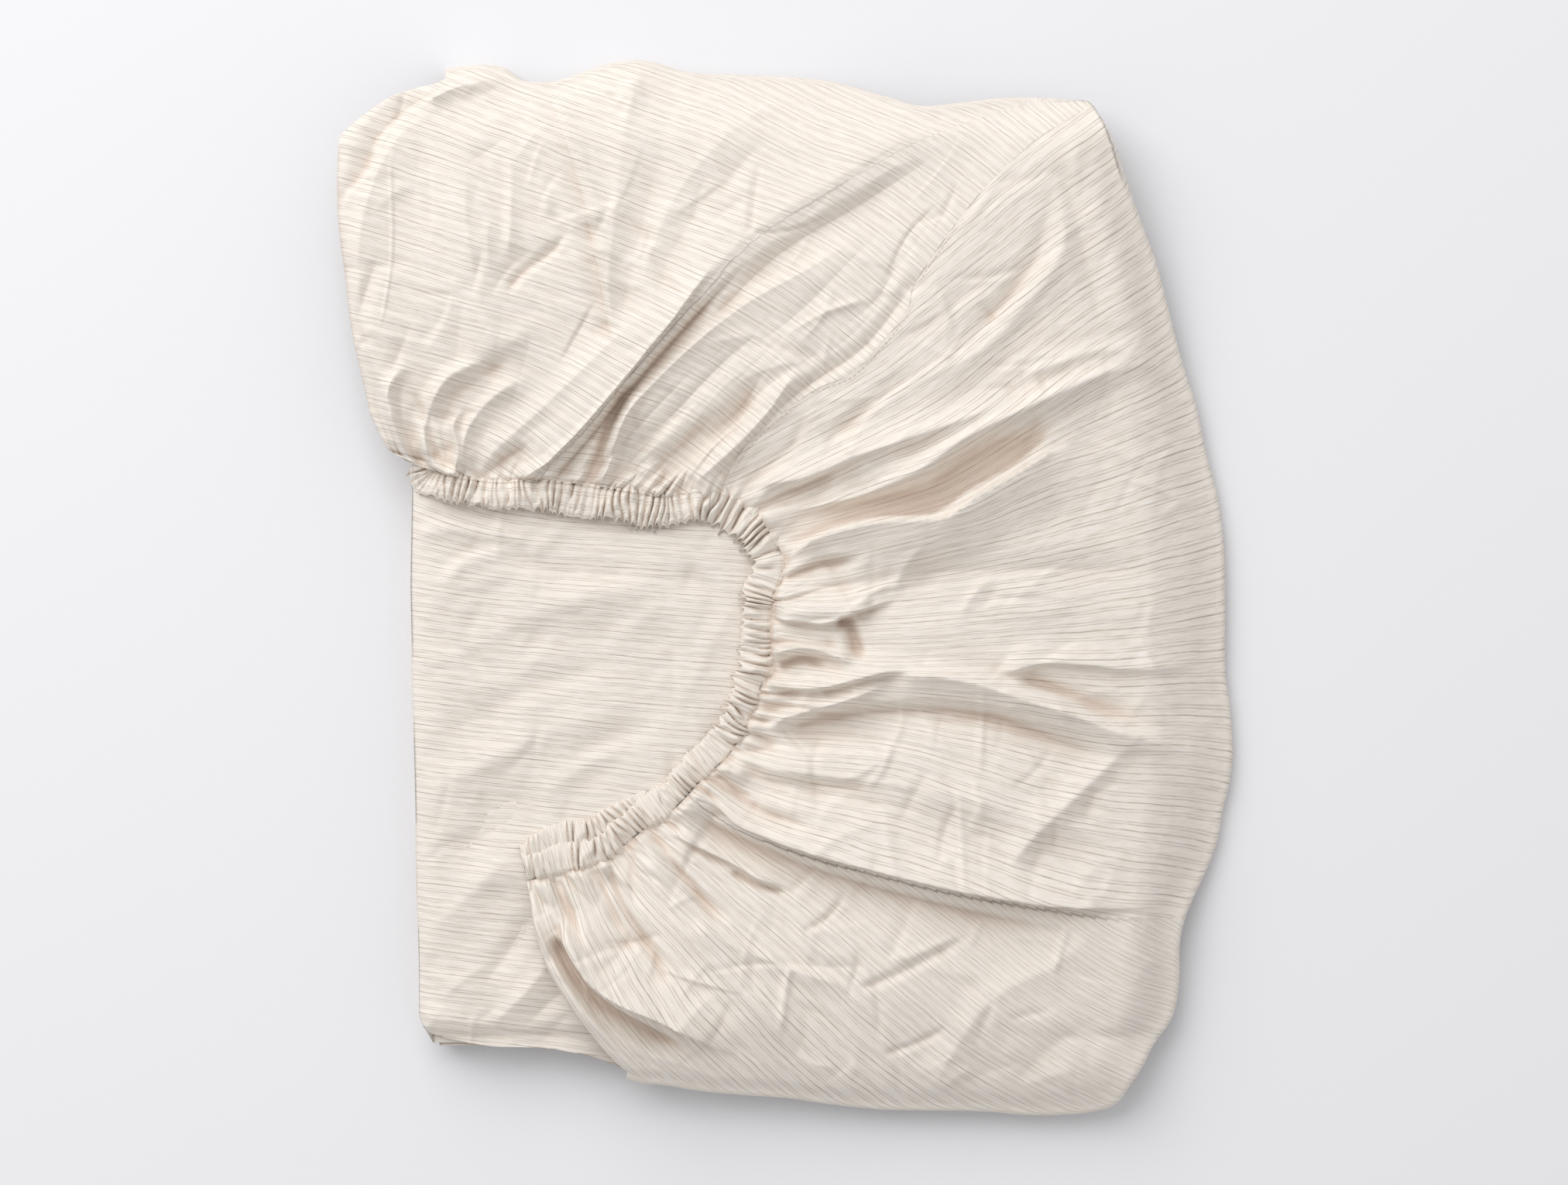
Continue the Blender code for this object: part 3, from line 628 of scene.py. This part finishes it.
foldEnds = {
    "start": 0.12,  # share of a fold's length over which it rises, then over which it runs out
    "finish": 0.3,
    "atHem": 0.4,  # how much of each fold is left right at the hem
    "hemReach": 5 * mm,
}
gathers = {
    "puckers": (2.3 * mm, 2.2 * mm, 8 * mm),  # spacing along the hem, height, how far out they fade
    "pleats": (6 * mm, 5.0 * mm, 26 * mm),
    "waves": (13 * mm, 4.6 * mm, 60 * mm),
    "stretch": 5,  # how much longer than wide the gathers are
    "level": 0.65,  # taken off, so that they dip as well as rise
    "atHem": 0.5,  # share of their height right at the stitched line
    "hemReach": 3 * mm,
    "pinchSpacing": 3 * mm,
    "pinch": 0.6,  # how much deeper the stitched line is pulled in at some places
    "stitchDip": 3.2 * mm,
    "stitchReach": 2.4 * mm,
    # how far out from the hem the small hollows get painted shade
    "hollowReach": 16 * mm,
    "clearance": 2.4 * mm,  # least height over the layer under it
    "softness": 1.6 * mm,
}


def fromPart(part, share):  # from a part at the hem to the whole further out
    return part + (1 - part) * smoothStep(share)


def gathered(column, distance):  # the gathers' height at a distance out from the stitched line
    along = hemShare(column) * lengthOf(hemCurve)
    height = np.zeros(distance.shape)
    for seed, name in enumerate(("puckers", "pleats", "waves"), 21):
        spacing, rise, reach = gathers[name]
        wave = 2 * np.abs(softNoise(along / spacing, distance / (gathers["stretch"] * spacing), seed))
        height += rise * (wave - gathers["level"]) * np.exp(-distance / reach)
    height *= fromPart(gathers["atHem"], distance / gathers["hemReach"])
    pinch = np.clip(softNoise(along / gathers["pinchSpacing"], 0 * distance, 31), 0, 1)
    dip = gathers["stitchDip"] * np.exp(-(distance / gathers["stitchReach"]) ** 2)
    return height - (1 + gathers["pinch"] * pinch) * dip


creases = {
    "seed": 7,
    "spacing": 18 * mm,  # one small pressed crease for each square of this size
    "length": (14 * mm, 46 * mm),
    "height": (0.5 * mm, 1.7 * mm),
    "width": (1.8 * mm, 9 * mm),
    "bow": 0.2,
    "crisp": 0.9,  # 1 for a sharp crest, 0 for a round one
    "fade": 0.7,
}


def creased(point, seed):  # small creases in all directions, left from folding and washing
    draw = np.random.default_rng(seed)
    height = np.zeros(point.shape[:-1])
    for _ in range(int(np.prod(2 * fieldReach) / creases["spacing"] ** 2)):
        middle = draw.uniform(-fieldReach, fieldReach)
        turn = draw.uniform(0, math.pi)
        sizes = [draw.uniform(*creases[key]) for key in ("length", "height", "width", "width")]
        length, rise, behind, ahead = sizes
        rise *= draw.choice([-1, 1])
        reach = np.array([math.cos(turn), math.sin(turn)]) * length / 2
        bow = np.array([-reach[1], reach[0]]) * draw.uniform(-creases["bow"], creases["bow"])
        line = np.array([middle - reach, middle + bow, middle + reach])
        near = (np.abs(point - middle) < length / 2 + max(behind, ahead)).all(axis=-1)
        if near.any():
            distance, share, _ = fromLine(point[near], line, 3)
            fade = np.sin(math.pi * share) ** creases["fade"]
            height[near] += rise * bump(distance, behind, ahead, creases["crisp"]) * fade
    return height


def folded(point, ends):  # height and sideways shift that the folds give each place
    lift, shift = np.zeros(point.shape[:-1]), np.zeros_like(point)
    for _, rise, behind, ahead, *lean, line in folds:
        line, lean = metres(line), sum(lean)
        reach = (max(behind, ahead) + abs(lean)) * mm
        near = ((point > line.min(axis=0) - reach) & (point < line.max(axis=0) + reach)).all(axis=-1)
        if not near.any():
            continue
        distance, share, right = fromLine(point[near], line)
        shape = bump(distance + lean * mm, behind * mm, ahead * mm) * ends[near]
        shape *= smoothStep(share / foldEnds["start"]) * smoothStep((1 - share) / foldEnds["finish"])
        lift[near] += rise * pocket["foldScale"] * mm * shape
        shift[near] += right * (lean * mm * shape)[:, None]
    return lift, shift


def onFields(fieldPair, point):  # the stripes change direction at a great fold
    first, second, fold = fieldPair
    past = fromLine(point, metres(fold))[0] > 2 * mm
    return np.where(past[..., None], onField(second, point), onField(first, point))


# Crumple of the pocket's cloth: height, size along two axes in mm, seed. The cloth's follows X and Y,
# the stripes' follows the stripes.
crumple = {
    "cloth": ((0.8, 30, 30, 41), (0.3, 12, 12, 42)),
    "stripes": ((0.35, 26, 5, 43),),
    "start": 12 * mm,  # how far out from the hem it is whole
}
runs = {}  # the lines that the stitches follow, filled in as the cloth is made


def skirtRows(columns, fieldPair):
    out, column = np.meshgrid(np.linspace(0, 1, pocket["rows"]), columns, indexing="ij")
    point = skirtPlan(column, out)
    start, end = hemPoint(column, skirtStart(column)), rimPoint(column, pocket["rimRadius"])
    distance = out * np.linalg.norm(end - start, axis=-1)
    first, last = topHeight(start) + pocket["startHeight"], topHeight(end) + 2 * pocket["rimRadius"]
    under = topHeight(point)
    rise = np.sin(math.pi * np.clip(out, 0, 0.5)) * np.cos(math.pi * np.clip(out - 0.5, 0, 0.5))
    lift = mixed(first, last, out ** pocket["fall"]) + pocket["loft"] * rise - under
    rimFade = smoothStep((1 - out) / pocket["rimFade"])
    lift += gathered(column, distance) * rimFade
    stripes = onFields(fieldPair, point)
    small = rippled(point, crumple["cloth"]) + rippled(stripes, crumple["stripes"])
    small += creased(point, creases["seed"])
    lift += small * rimFade * smoothStep(distance / crumple["start"])
    bent, shift = folded(point, fromPart(foldEnds["atHem"], distance / foldEnds["hemReach"]) * rimFade)
    first, reach = pocket["softFrom"]
    nearRim = smoothStep((out - first) / reach) * rimFade
    softness = gathers["softness"] * (1 + pocket["rimSoftness"] * nearRim)
    over = (lift + bent - gathers["clearance"]) / softness
    lift = gathers["clearance"] + softness * np.logaddexp(0, over)
    lift -= sideDrop(point) * rimFade * smoothStep(out / pocket["sideFade"])
    height = under + lift
    shape = np.concatenate([point + shift, height[..., None]], axis=-1)
    # painted shade for the colour: how deep each place lies in hollows of each size, none at the rim
    shade = hollows(height, "middle") + hollows(height, "large")
    shade += hollows(height, "small") * np.exp(-distance / gathers["hollowReach"])
    shade = np.clip(shade, 0, 1) * smoothStep((1 - out) / pocket["sideFade"])
    if (columns == seamColumn).any():
        runs["seam"] = shape[:, int(np.argmin(np.abs(columns - seamColumn)))]
    return list(shape), list(stripes), list(shade)


def rimRows(columns, fieldPair):  # the cloth turns down and under at the rim
    rows, maps = [], []
    radius = pocket["rimRadius"]
    inner = rimPoint(columns, radius)
    height = topHeight(inner)
    for angle in np.linspace(math.pi / 2, -math.pi / 2, pocket["rimRows"] + 1)[1:]:
        point = rimPoint(columns, radius * (1 - math.cos(angle)))
        rows.append(np.column_stack([point, height + radius * (1 + math.sin(angle))]))
        maps.append(onFields(fieldPair, inner + (point - inner) * (1 + (math.pi / 2 - angle))))
    return rows, maps


def addPanel(name, columns, fieldPair, material):
    rows, maps, shade = skirtRows(columns, fieldPair)
    edgeRows, edgeMaps = rimRows(columns, fieldPair)
    shade += [np.zeros(len(columns))] * len(edgeRows)
    return addMesh(name, rows + edgeRows, maps + edgeMaps, material, shade)


# The gathered hem: a casing of the same cloth, puckered all along by the elastic inside it

casing = {
    "columns": 1150,
    "pucker": 3.4 * mm,  # spacing of the small folds across the casing
    "puckerHeight": 2.0 * mm,
    "edgeScallop": 1.5 * mm,
    "scallopReach": 14 * mm,
    "sectionSteps": 3,
    "doubled": (0.79, 1.0),  # where the hem's other side shows behind it, as shares of its length
    "doubledOffset": 9.5 * mm,
    "doubledDrop": 2.6 * mm,
    "doubledFrom": ((0.79, 0.86, 0.93, 0.98, 1), (0, 0.6, 1, 0.9, 0.3)),  # share, part of the offset
    "gathering": 2.2,  # how much longer the cloth is than the drawn-in hem
    "strength": ((0, 0.35, 0.65, 0.8, 1), (1, 1.15, 1.15, 0.7, 0.9)),  # share along, part of the puckers
    "crest": 0.65,  # under 1 rounds the puckers' crests and sharpens the folds between them
    "slant": 6.5,  # in radians, how far the puckers slant and sway
    "sway": 4.2,
    "swayLength": 7 * mm,
    "swayWidth": 12 * mm,
    "unevenWidth": 6 * mm,
    "uneven": (0.95, 0.9, 0.4, 1.7),  # middle, spread, least and most
    "ripples": ((0.35, 1.4 * mm, 9, 54), (1.0, 6 * mm, 16, 55)),  # height, spacing, spread, seed
}
# Section of the casing in mm: distance in from its free edge, height over the cloth below it. Its
# first four points are its underside, and its last part lies hidden under the skirt.
casingSection = metres([
    (12.6, 1.2), (8.0, 0.8), (3.2, 0.9), (0.8, 1.7), (0.0, 3.0), (0.7, 4.3), (2.6, 5.3), (5.4, 5.8),
    (8.4, 5.6), (10.8, 5.1), (12.4, 4.4), (13.3, 3.4), (16.2, 1.2),
])


def casingRows(curve, shares, offset, drop, seamShare):
    section = curveThrough(casingSection, casing["sectionSteps"])
    length = lengthOf(curve)
    along = shares * length
    widths = np.interp(shares, *casingWidths.T) * mm / casingSection[-2, 0]
    strength = 0.75 + 0.55 * softNoise(along / (9 * mm), 0 * along, 52)
    strength *= np.interp(shares, *casing["strength"])
    swaying = along / casing["swayLength"]
    slant = casing["slant"] * softNoise(swaying, 0 * along + 0.5, 53)
    middle, spread, least, most = casing["uneven"]
    point, normal = atShare(curve, shares), leftNormal(curve, shares)
    rows, maps, passed = [], [], 0
    for index, (share, height) in enumerate(section):
        inward = share * widths
        turn = 2 * math.pi * along / casing["pucker"] + slant * share / casingSection[-2, 0]
        turn += casing["sway"] * softNoise(swaying, inward / casing["swayWidth"], 51)
        uneven = softNoise(along / casing["pucker"], inward / casing["unevenWidth"], 56)
        uneven = np.clip(middle + spread * uneven, least, most)
        wave = (2 * np.abs(np.sin(turn / 2)) ** casing["crest"] - 1.1) * strength * uneven
        for rise, spacing, spreads, seed in casing["ripples"]:
            wave += rise * softNoise(along / spacing, 0 * along + index / spreads, seed)
        upper = index >= 4 * casing["sectionSteps"]  # only the upper side stands up in puckers
        edge = casing["edgeScallop"] * wave * (1 - inward / casing["scallopReach"])
        place = point + normal * (inward + offset + edge)[:, None]
        lift = height - drop + upper * casing["puckerHeight"] * wave
        rows.append(np.column_stack([place, topHeight(place) + lift]))
        if index:
            passed += np.hypot(*(section[index] - section[index - 1]))
        runsAlong = np.stack([along * casing["gathering"], np.full_like(along, passed)], axis=-1)
        runsOut = np.stack([np.full_like(along, passed), along * casing["gathering"]], axis=-1)
        maps.append(np.where((shares < seamShare)[:, None], runsAlong, runsOut))
    runs["casing"] = rows[9 * casing["sectionSteps"] + 1]  # where the casing is stitched down
    # the last list is the painted shade in the casing's hollows
    return rows, maps, list(hollows(np.array(rows)[..., 2], "casing"))


# Stitches: one short thread after another along a line, laid on the cloth by geometry nodes

stitches = {
    "length": 1.9 * mm,
    "spacing": 2.6 * mm,
    "threadWidth": 0.36 * mm,
    "lift": 0.16 * mm,
    "seed": 3,
    "uneven": 0.15,
    "inset": 1.3 * mm,  # from the corner seam
    "colour": "#e2d6c8",
}


def stitchNodes(material):
    tree = bpy.data.node_groups.new("stitches", "GeometryNodeTree")
    shown = {}
    face = tree.interface
    face.new_socket("Geometry", in_out="INPUT", socket_type="NodeSocketGeometry")
    for name, value in (("Length", "length"), ("Spacing", "spacing"), ("Thread Width", "threadWidth"),
                        ("Uneven", "uneven"), ("Seed", "seed")):
        kind = "NodeSocketInt" if name == "Seed" else "NodeSocketFloat"
        socket = face.new_socket(name, in_out="INPUT", socket_type=kind)
        shown[socket.identifier] = stitches[value]
    face.new_socket("Geometry", in_out="OUTPUT", socket_type="NodeSocketGeometry")
    given = tree.nodes.new("NodeGroupInput").outputs
    curve = addNode(tree, "GeometryNodeMeshToCurve", {0: given["Geometry"]})
    spots = addNode(tree, "GeometryNodeCurveToPoints", {
        "Curve": curve.outputs[0], "Length": given["Spacing"]}, mode="LENGTH")
    thread = addNode(tree, "GeometryNodeMeshUVSphere", {"Segments": 6, "Rings": 4, "Radius": 0.5})
    size = addNode(tree, "ShaderNodeCombineXYZ", {
        0: given["Thread Width"], 1: given["Thread Width"], 2: given["Length"]})
    sized = addNode(tree, "GeometryNodeTransform", {
        "Geometry": thread.outputs[0], "Scale": size.outputs[0]})
    low = math2(tree, "SUBTRACT", 1.0, given["Uneven"])
    high = math2(tree, "ADD", 1.0, given["Uneven"])
    chance = addNode(tree, "FunctionNodeRandomValue", {
        2: low, 3: high, 8: given["Seed"]}, data_type="FLOAT")
    laid = addNode(tree, "GeometryNodeInstanceOnPoints", {
        "Points": spots.outputs[0], "Instance": sized.outputs[0], "Rotation": spots.outputs["Rotation"],
        "Scale": chance.outputs[1]})
    real = addNode(tree, "GeometryNodeRealizeInstances", {0: laid.outputs[0]})
    coated = addNode(tree, "GeometryNodeSetMaterial", {"Geometry": real.outputs[0], "Material": material})
    tree.links.new(coated.outputs[0], tree.nodes.new("NodeGroupOutput").inputs[0])
    return tree, shown


def addStitches(name, paths, material):
    points = [point for path in paths for point in path]
    edges, start = [], 0
    for path in paths:
        edges += [(start + i, start + i + 1) for i in range(len(path) - 1)]
        start += len(path)
    lines = bpy.data.meshes.new(name + " lines")
    lines.from_pydata(points, edges, [])
    thing = bpy.data.objects.new(name, lines)
    bpy.context.scene.collection.objects.link(thing)
    tree, shown = stitchNodes(material)
    layer = thing.modifiers.new("stitches", "NODES")
    layer.node_group = tree
    for identifier, value in shown.items():
        layer[identifier] = value
    plain = bpy.data.meshes.new_from_object(thing.evaluated_get(bpy.context.evaluated_depsgraph_get()))
    thing.modifiers.remove(layer)
    thing.data = plain
    plain.name = name
    plain.shade_smooth()
    return thing


# The folded body under the pocket: its top layer, then the layers below, back and forth

body = {
    "topColumns": 200,
    "hiddenRows": 14,
    "seenRows": 120,
    "seenFrom": 0.5,  # share of the way from rim to left fold where the top layer starts to show
    "lowerColumns": 60,
    "turnSteps": 6,
    "stops": 36,
    "creasing": 0.7,  # the top layer's small creases, as a share of the pocket's
    "wrinkling": 1.6,
    "creaseSeed": 8,
    # share of painted shade in the top layer's hollows
    "paintedShadeShare": 0.3,
    "wander": 1.3 * mm,  # how unevenly the turns lie along the packet's sides
    "wave": 1.6 * mm,  # how unevenly the layers' front and back edges lie
    "layerShift": 0.03,  # moves the stripes from one layer to the next
}


def topRows(field):
    hidden = np.linspace(0, body["seenFrom"], body["hiddenRows"], endpoint=False)
    stops = np.concatenate([hidden, np.linspace(body["seenFrom"], 1, body["seenRows"])])
    share, column = np.meshgrid(stops, np.linspace(0, 1, body["topColumns"]), indexing="ij")
    y = mixed(packet["back"], packet["front"], column)
    fold = np.stack([foldAt(leftFold, y) + packet["layerPitch"] / 2, y], axis=-1)
    point = mixed(rimPoint(column, pocket["rimRadius"]), fold, share[..., None])
    front = curveThrough(topLayerFront)
    point = point + sidePull(share, front, front[0], front[-1]) * (column**9)[..., None]
    fade = smoothStep((1 - share) / 0.03) * smoothStep(share / 0.3)
    creasing = body["creasing"] * creased(point, body["creaseSeed"])
    lift = (body["wrinkling"] * wrinkled(point) + creasing) * fade
    shape = np.concatenate([point, (topHeight(point) + lift)[..., None]], axis=-1)
    # painted shade in the hollows between the top layer's wrinkles
    shade = body["paintedShadeShare"] * hollows(shape[..., 2], "packet") * fade
    return list(shape), list(onField(field, point)), list(shade)


def lowerRows(field):
    column = np.linspace(0, 1, body["lowerColumns"])
    rows, maps = [], []
    for layer in range(1, packet["layersBelow"] + 1):
        y = mixed(packet["back"], packet["front"] - frontSteps[layer - 1], column)
        wander = body["wander"] * (1 + softNoise(y / 0.045, 0 * y + layer * 3.3, 62))
        left = foldAt(leftFold, y) + leftInsets[layer // 2] + wander
        right = foldAt(rightFold, y) - rightInsets[(layer - 1) // 2] - wander
        rightwards = layer % 2 == 1
        turnX, inwards = (left, 1) if rightwards else (right, -1)
        half = packet["layerPitch"] / 2
        for step in range(1, body["turnSteps"]):
            angle = math.pi * step / body["turnSteps"]
            x = turnX + inwards * half * (1 - math.sin(angle))
            above = layerHeight(x, y, layer - 1) + packet["topGap"] * (layer == 1)
            below = layerHeight(x, y, layer)
            rows.append(np.column_stack([x, y, mixed(below, above, (1 + math.cos(angle)) / 2)]))
            across = x + inwards * half * (angle - 1)
            maps.append(np.column_stack([across, y + body["layerShift"] * layer]))
        ends = [left + half, right - half]
        if not rightwards:
            ends.reverse()
        nearEdge = np.abs(2 * column - 1) ** 12
        for stop in np.linspace(0, 1, body["stops"]):
            x = mixed(ends[0], ends[1], stop)
            wave = body["wave"] * softNoise(x / 0.024, 0 * x + layer * 5.7, 61)
            waved = y + wave * nearEdge * min(1, 8 * stop * (1 - stop))
            rows.append(np.column_stack([x, waved, layerHeight(x, waved, layer)]))
            maps.append(np.column_stack([x, waved + body["layerShift"] * layer]))
    return rows, maps


# Materials

def linear(code):
    parts = [int(code[i:i + 2], 16) / 255 for i in (1, 3, 5)]
    return [part / 12.92 if part <= 0.04045 else ((part + 0.055) / 1.055) ** 2.4 for part in parts] + [1.0]


pinstripe = {
    "cloth": "#eae1d6",
    "lightCloth": "#f4ede5",
    "paintedShadeCloth": "#c7ab97",  # painted shade: the warm brown that deep folds take on from the cloth around them
    "line": "#a19588",
    "warmLine": "#b09c8a",
    "repeat": 10.5 * mm,
    # Distances from the middle of a repeat, on both sides of it, with the strength of each line
    "lines": ((0.0, 1.3), (2.40 * mm, 0.85), (3.45 * mm, 0.8)),
    "lineWidth": 0.38 * mm,
    "lineStrength": 0.55,
    "dashLength": 6 * mm,
    "thread": 0.45 * mm,  # real yarns are finer, but would not show at this distance
    "crinkleLength": 14 * mm,
    "crinkleWidth": 2.0 * mm,
    "crinkleDepth": 0.5 * mm,
    "weaveDepth": 0.05 * mm,
    "slubDepth": 0.06 * mm,
    # how far the deepest hollows' colour is painted towards that shade
    "paintedShadeStrength": 0.42,
}


def newMaterial(name, colour, roughness):
    material = bpy.data.materials.new(name)
    material.use_nodes = True
    shader = material.node_tree.nodes["Principled BSDF"]
    shader.inputs["Base Color"].default_value = linear(colour)
    shader.inputs["Roughness"].default_value = roughness
    return material, shader


def stripedCotton():  # washed plain-weave cotton, yarn-dyed pinstripes: matt, slubby, softly crinkled, with painted shade in its hollows
    material, shader = newMaterial("washed cotton, yarn-dyed pinstripe", pinstripe["cloth"], 0.9)
    tree = material.node_tree
    place = addNode(tree, "ShaderNodeUVMap", uv_map="stripes").outputs[0]
    parts = addNode(tree, "ShaderNodeSeparateXYZ", {0: place})
    along, across = parts.outputs[0], parts.outputs[1]

    def stretched(length, width, detail, seed, roughness=0.5):  # noise drawn out along the stripes
        lane = addNode(tree, "ShaderNodeCombineXYZ", {
            0: math2(tree, "DIVIDE", along, length), 1: math2(tree, "DIVIDE", across, width), 2: seed})
        noise = addNode(tree, "ShaderNodeTexNoise", {
            "Vector": lane.outputs[0], "Scale": 1.0, "Detail": detail, "Roughness": roughness})
        return noise.outputs[0]

    def graded(value, low, high, toLow=0.0, toHigh=1.0):
        return addNode(tree, "ShaderNodeMapRange", {
            "Value": value, "From Min": low, "From Max": high, "To Min": toLow, "To Max": toHigh},
            interpolation_type="SMOOTHSTEP").outputs[0]

    def blend(share, first, second):
        return addNode(tree, "ShaderNodeMix", {0: share, 6: first, 7: second}, data_type="RGBA").outputs[2]

    wobble = graded(stretched(30 * mm, 20 * mm, 1, 3.1), 0.3, 0.7, -0.35 * mm, 0.35 * mm)
    lane = math2(tree, "DIVIDE", math2(tree, "ADD", across, wobble), pinstripe["repeat"])
    fromMiddle = math2(tree, "ABSOLUTE", math2(tree, "SUBTRACT", math2(tree, "FRACT", lane), 0.5))
    fromMiddle = math2(tree, "MULTIPLY", fromMiddle, pinstripe["repeat"])
    lines = None
    for seed, (spot, strength) in enumerate(pinstripe["lines"], 5):
        off = math2(tree, "ABSOLUTE", math2(tree, "SUBTRACT", fromMiddle, spot))
        line = graded(off, pinstripe["lineWidth"] * 0.85, pinstripe["lineWidth"] * 0.25)
        dashes = graded(stretched(pinstripe["dashLength"], 1.2 * mm, 2, seed * 3.7), 0.32, 0.62, 0.45)
        line = math2(tree, "MULTIPLY", math2(tree, "MULTIPLY", line, dashes), strength)
        lines = line if lines is None else math2(tree, "MAXIMUM", lines, line)
    slub = stretched(9 * mm, 0.5 * mm, 2, 2.0, 0.6)
    crinkle = stretched(pinstripe["crinkleLength"], pinstripe["crinkleWidth"], 2, 4.0)
    cloth = blend(graded(slub, 0.35, 0.65), linear(pinstripe["cloth"]), linear(pinstripe["lightCloth"]))
    # Painted shade: by the hollow attribute, the colour turns towards a warm brown in the folds' hollows
    hollow = addNode(tree, "ShaderNodeAttribute", attribute_name="hollow").outputs["Fac"]
    paintedShading = math2(tree, "MULTIPLY", hollow, pinstripe["paintedShadeStrength"])
    cloth = blend(paintedShading, cloth, linear(pinstripe["paintedShadeCloth"]))
    thread = blend(graded(stretched(40 * mm, 4 * mm, 1, 8.0), 0.4, 0.6), linear(pinstripe["line"]),
                   linear(pinstripe["warmLine"]))
    colour = blend(math2(tree, "MULTIPLY", lines, pinstripe["lineStrength"]), cloth, thread)
    weave = addNode(tree, "ShaderNodeTexNoise", {
        "Vector": place, "Scale": 1 / pinstripe["thread"], "Detail": 2.0, "Roughness": 0.6}).outputs[0]
    height = math2(tree, "ADD", math2(tree, "MULTIPLY", crinkle, pinstripe["crinkleDepth"]),
                   math2(tree, "MULTIPLY", weave, pinstripe["weaveDepth"]))
    height = math2(tree, "ADD", height, math2(tree, "MULTIPLY", slub, pinstripe["slubDepth"]))
    relief = addNode(tree, "ShaderNodeBump", {"Height": height, "Distance": 1.0, "Strength": 1.0})
    tree.links.new(colour, shader.inputs["Base Color"])
    tree.links.new(relief.outputs[0], shader.inputs["Normal"])
    shader.inputs["Sheen Weight"].default_value = 0.08
    shader.inputs["Specular IOR Level"].default_value = 0.25
    return material


cotton = stripedCotton()
sewingThread = newMaterial("cream cotton sewing thread", stitches["colour"], 0.8)[0]
fields = {
    "left": stripeField(leftStripes),
    "middle": stripeField(middleStripes),
    "right": stripeField(rightStripes, crowded=True),
    "front": stripeField(frontStripes, crowded=True),
    "packet": stripeField(packetStripes),
}
for first, second, spot in (("left", "middle", (96, 219)), ("right", "front", (172, -151))):
    spot = metres(spot)
    fields[second] += onField(fields[first], spot) - onField(fields[second], spot)
print("stripe directions ready")

leftColumns = np.linspace(0, seamColumn, pocket["leftColumns"])
rightColumns = np.linspace(seamColumn, 1, pocket["rightColumns"])
leftPair = (fields["left"], fields["middle"], foldLines["great overlap"])
leftPanel = addPanel("left_panel", leftColumns, leftPair, cotton)
frontPair = (fields["right"], fields["front"], foldLines["front overlap"])
rightPanel = addPanel("right_panel", rightColumns, frontPair, cotton)
print("pocket ready")
hemShares = np.linspace(0, 1, casing["columns"])
hemRows, hemMaps, hemShade = casingRows(hemCurve, hemShares, 0, 0, pocket["seamShares"][0])
casingLine = runs["casing"] + np.array([0, 0, stitches["lift"]])
seamRun = runs["seam"][3:] + np.array([0, 0, stitches["lift"]])
ahead = np.gradient(seamRun[:, :2], axis=0)
ahead /= np.linalg.norm(ahead, axis=-1, keepdims=True)
seamRun[:, :2] += stitches["inset"] * np.stack([ahead[:, 1], -ahead[:, 0]], axis=-1)
sewn = addStitches("stitches", [casingLine, seamRun], sewingThread)
print("stitches ready")
hem = addMesh("gathered_hem", hemRows, hemMaps, cotton, hemShade)
endShares = np.linspace(*casing["doubled"], casing["columns"] // 4)
standsBack = -casing["doubledOffset"] * np.interp(endShares, *casing["doubledFrom"])
backRows, backMaps, backShade = casingRows(hemCurve, endShares, standsBack, casing["doubledDrop"], 0)
doubled = addMesh("doubled_hem", backRows, backMaps, cotton, backShade)
print("hem ready")
upperRows, upperMaps, upperShade = topRows(fields["packet"])
underRows, underMaps = lowerRows(fields["packet"])
underShade = [np.zeros(len(row)) for row in underRows]
packetBody = addMesh("folded_body", upperRows + underRows, upperMaps + underMaps, cotton,
                     upperShade + underShade)
print("packet ready")

for thing in (leftPanel, rightPanel, hem, doubled, sewn, packetBody):
    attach(thing, "root")
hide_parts("fitted_sheet")

# Floor, light and camera

studio = {
    "floor": "#f1f1f4",
    "floorSize": 6,
    "floorDrop": 0.4 * mm,
    "sky": "#ffffff",
    "skyStrength": 0.55,
    "lampPlace": (-1.05, 1.6, 1.9),
    "lampSize": 2.6,
    "lampPower": 55,
    "lens": 110,
    "sensor": 36,
    "fieldWidth": 0.7232,
    "fieldHeight": 0.012,  # the field width holds at this height over the floor
    "centre": (-0.0014, -0.0028),
}


def addFloor():
    bpy.ops.mesh.primitive_plane_add(size=studio["floorSize"], location=(0, 0, -studio["floorDrop"]))
    floor = bpy.context.object
    floor.name = "floor"
    floor.data.materials.append(newMaterial("matt white paper", studio["floor"], 0.95)[0])


def addLight():
    world = bpy.data.worlds.new("studio")
    world.use_nodes = True
    sky = world.node_tree.nodes["Background"].inputs
    sky["Color"].default_value = linear(studio["sky"])
    sky["Strength"].default_value = studio["skyStrength"]
    bpy.context.scene.world = world
    lamp = bpy.data.lights.new("softbox", "AREA")
    lamp.size = studio["lampSize"]
    lamp.energy = studio["lampPower"]
    holder = bpy.data.objects.new("softbox", lamp)
    holder.location = studio["lampPlace"]
    holder.rotation_euler = (-holder.location).to_track_quat("-Z", "Y").to_euler()
    bpy.context.scene.collection.objects.link(holder)


def addCamera():
    eye = bpy.data.cameras.new("camera")
    eye.lens = studio["lens"]
    eye.sensor_width = studio["sensor"]
    holder = bpy.data.objects.new("camera", eye)
    rise = studio["fieldWidth"] * studio["lens"] / studio["sensor"] + studio["fieldHeight"]
    holder.location = (*studio["centre"], rise)
    bpy.context.scene.collection.objects.link(holder)
    bpy.context.scene.camera = holder


addFloor()
addLight()
addCamera()
bpy.context.scene.view_settings.view_transform = "Standard"
print("stage ready")
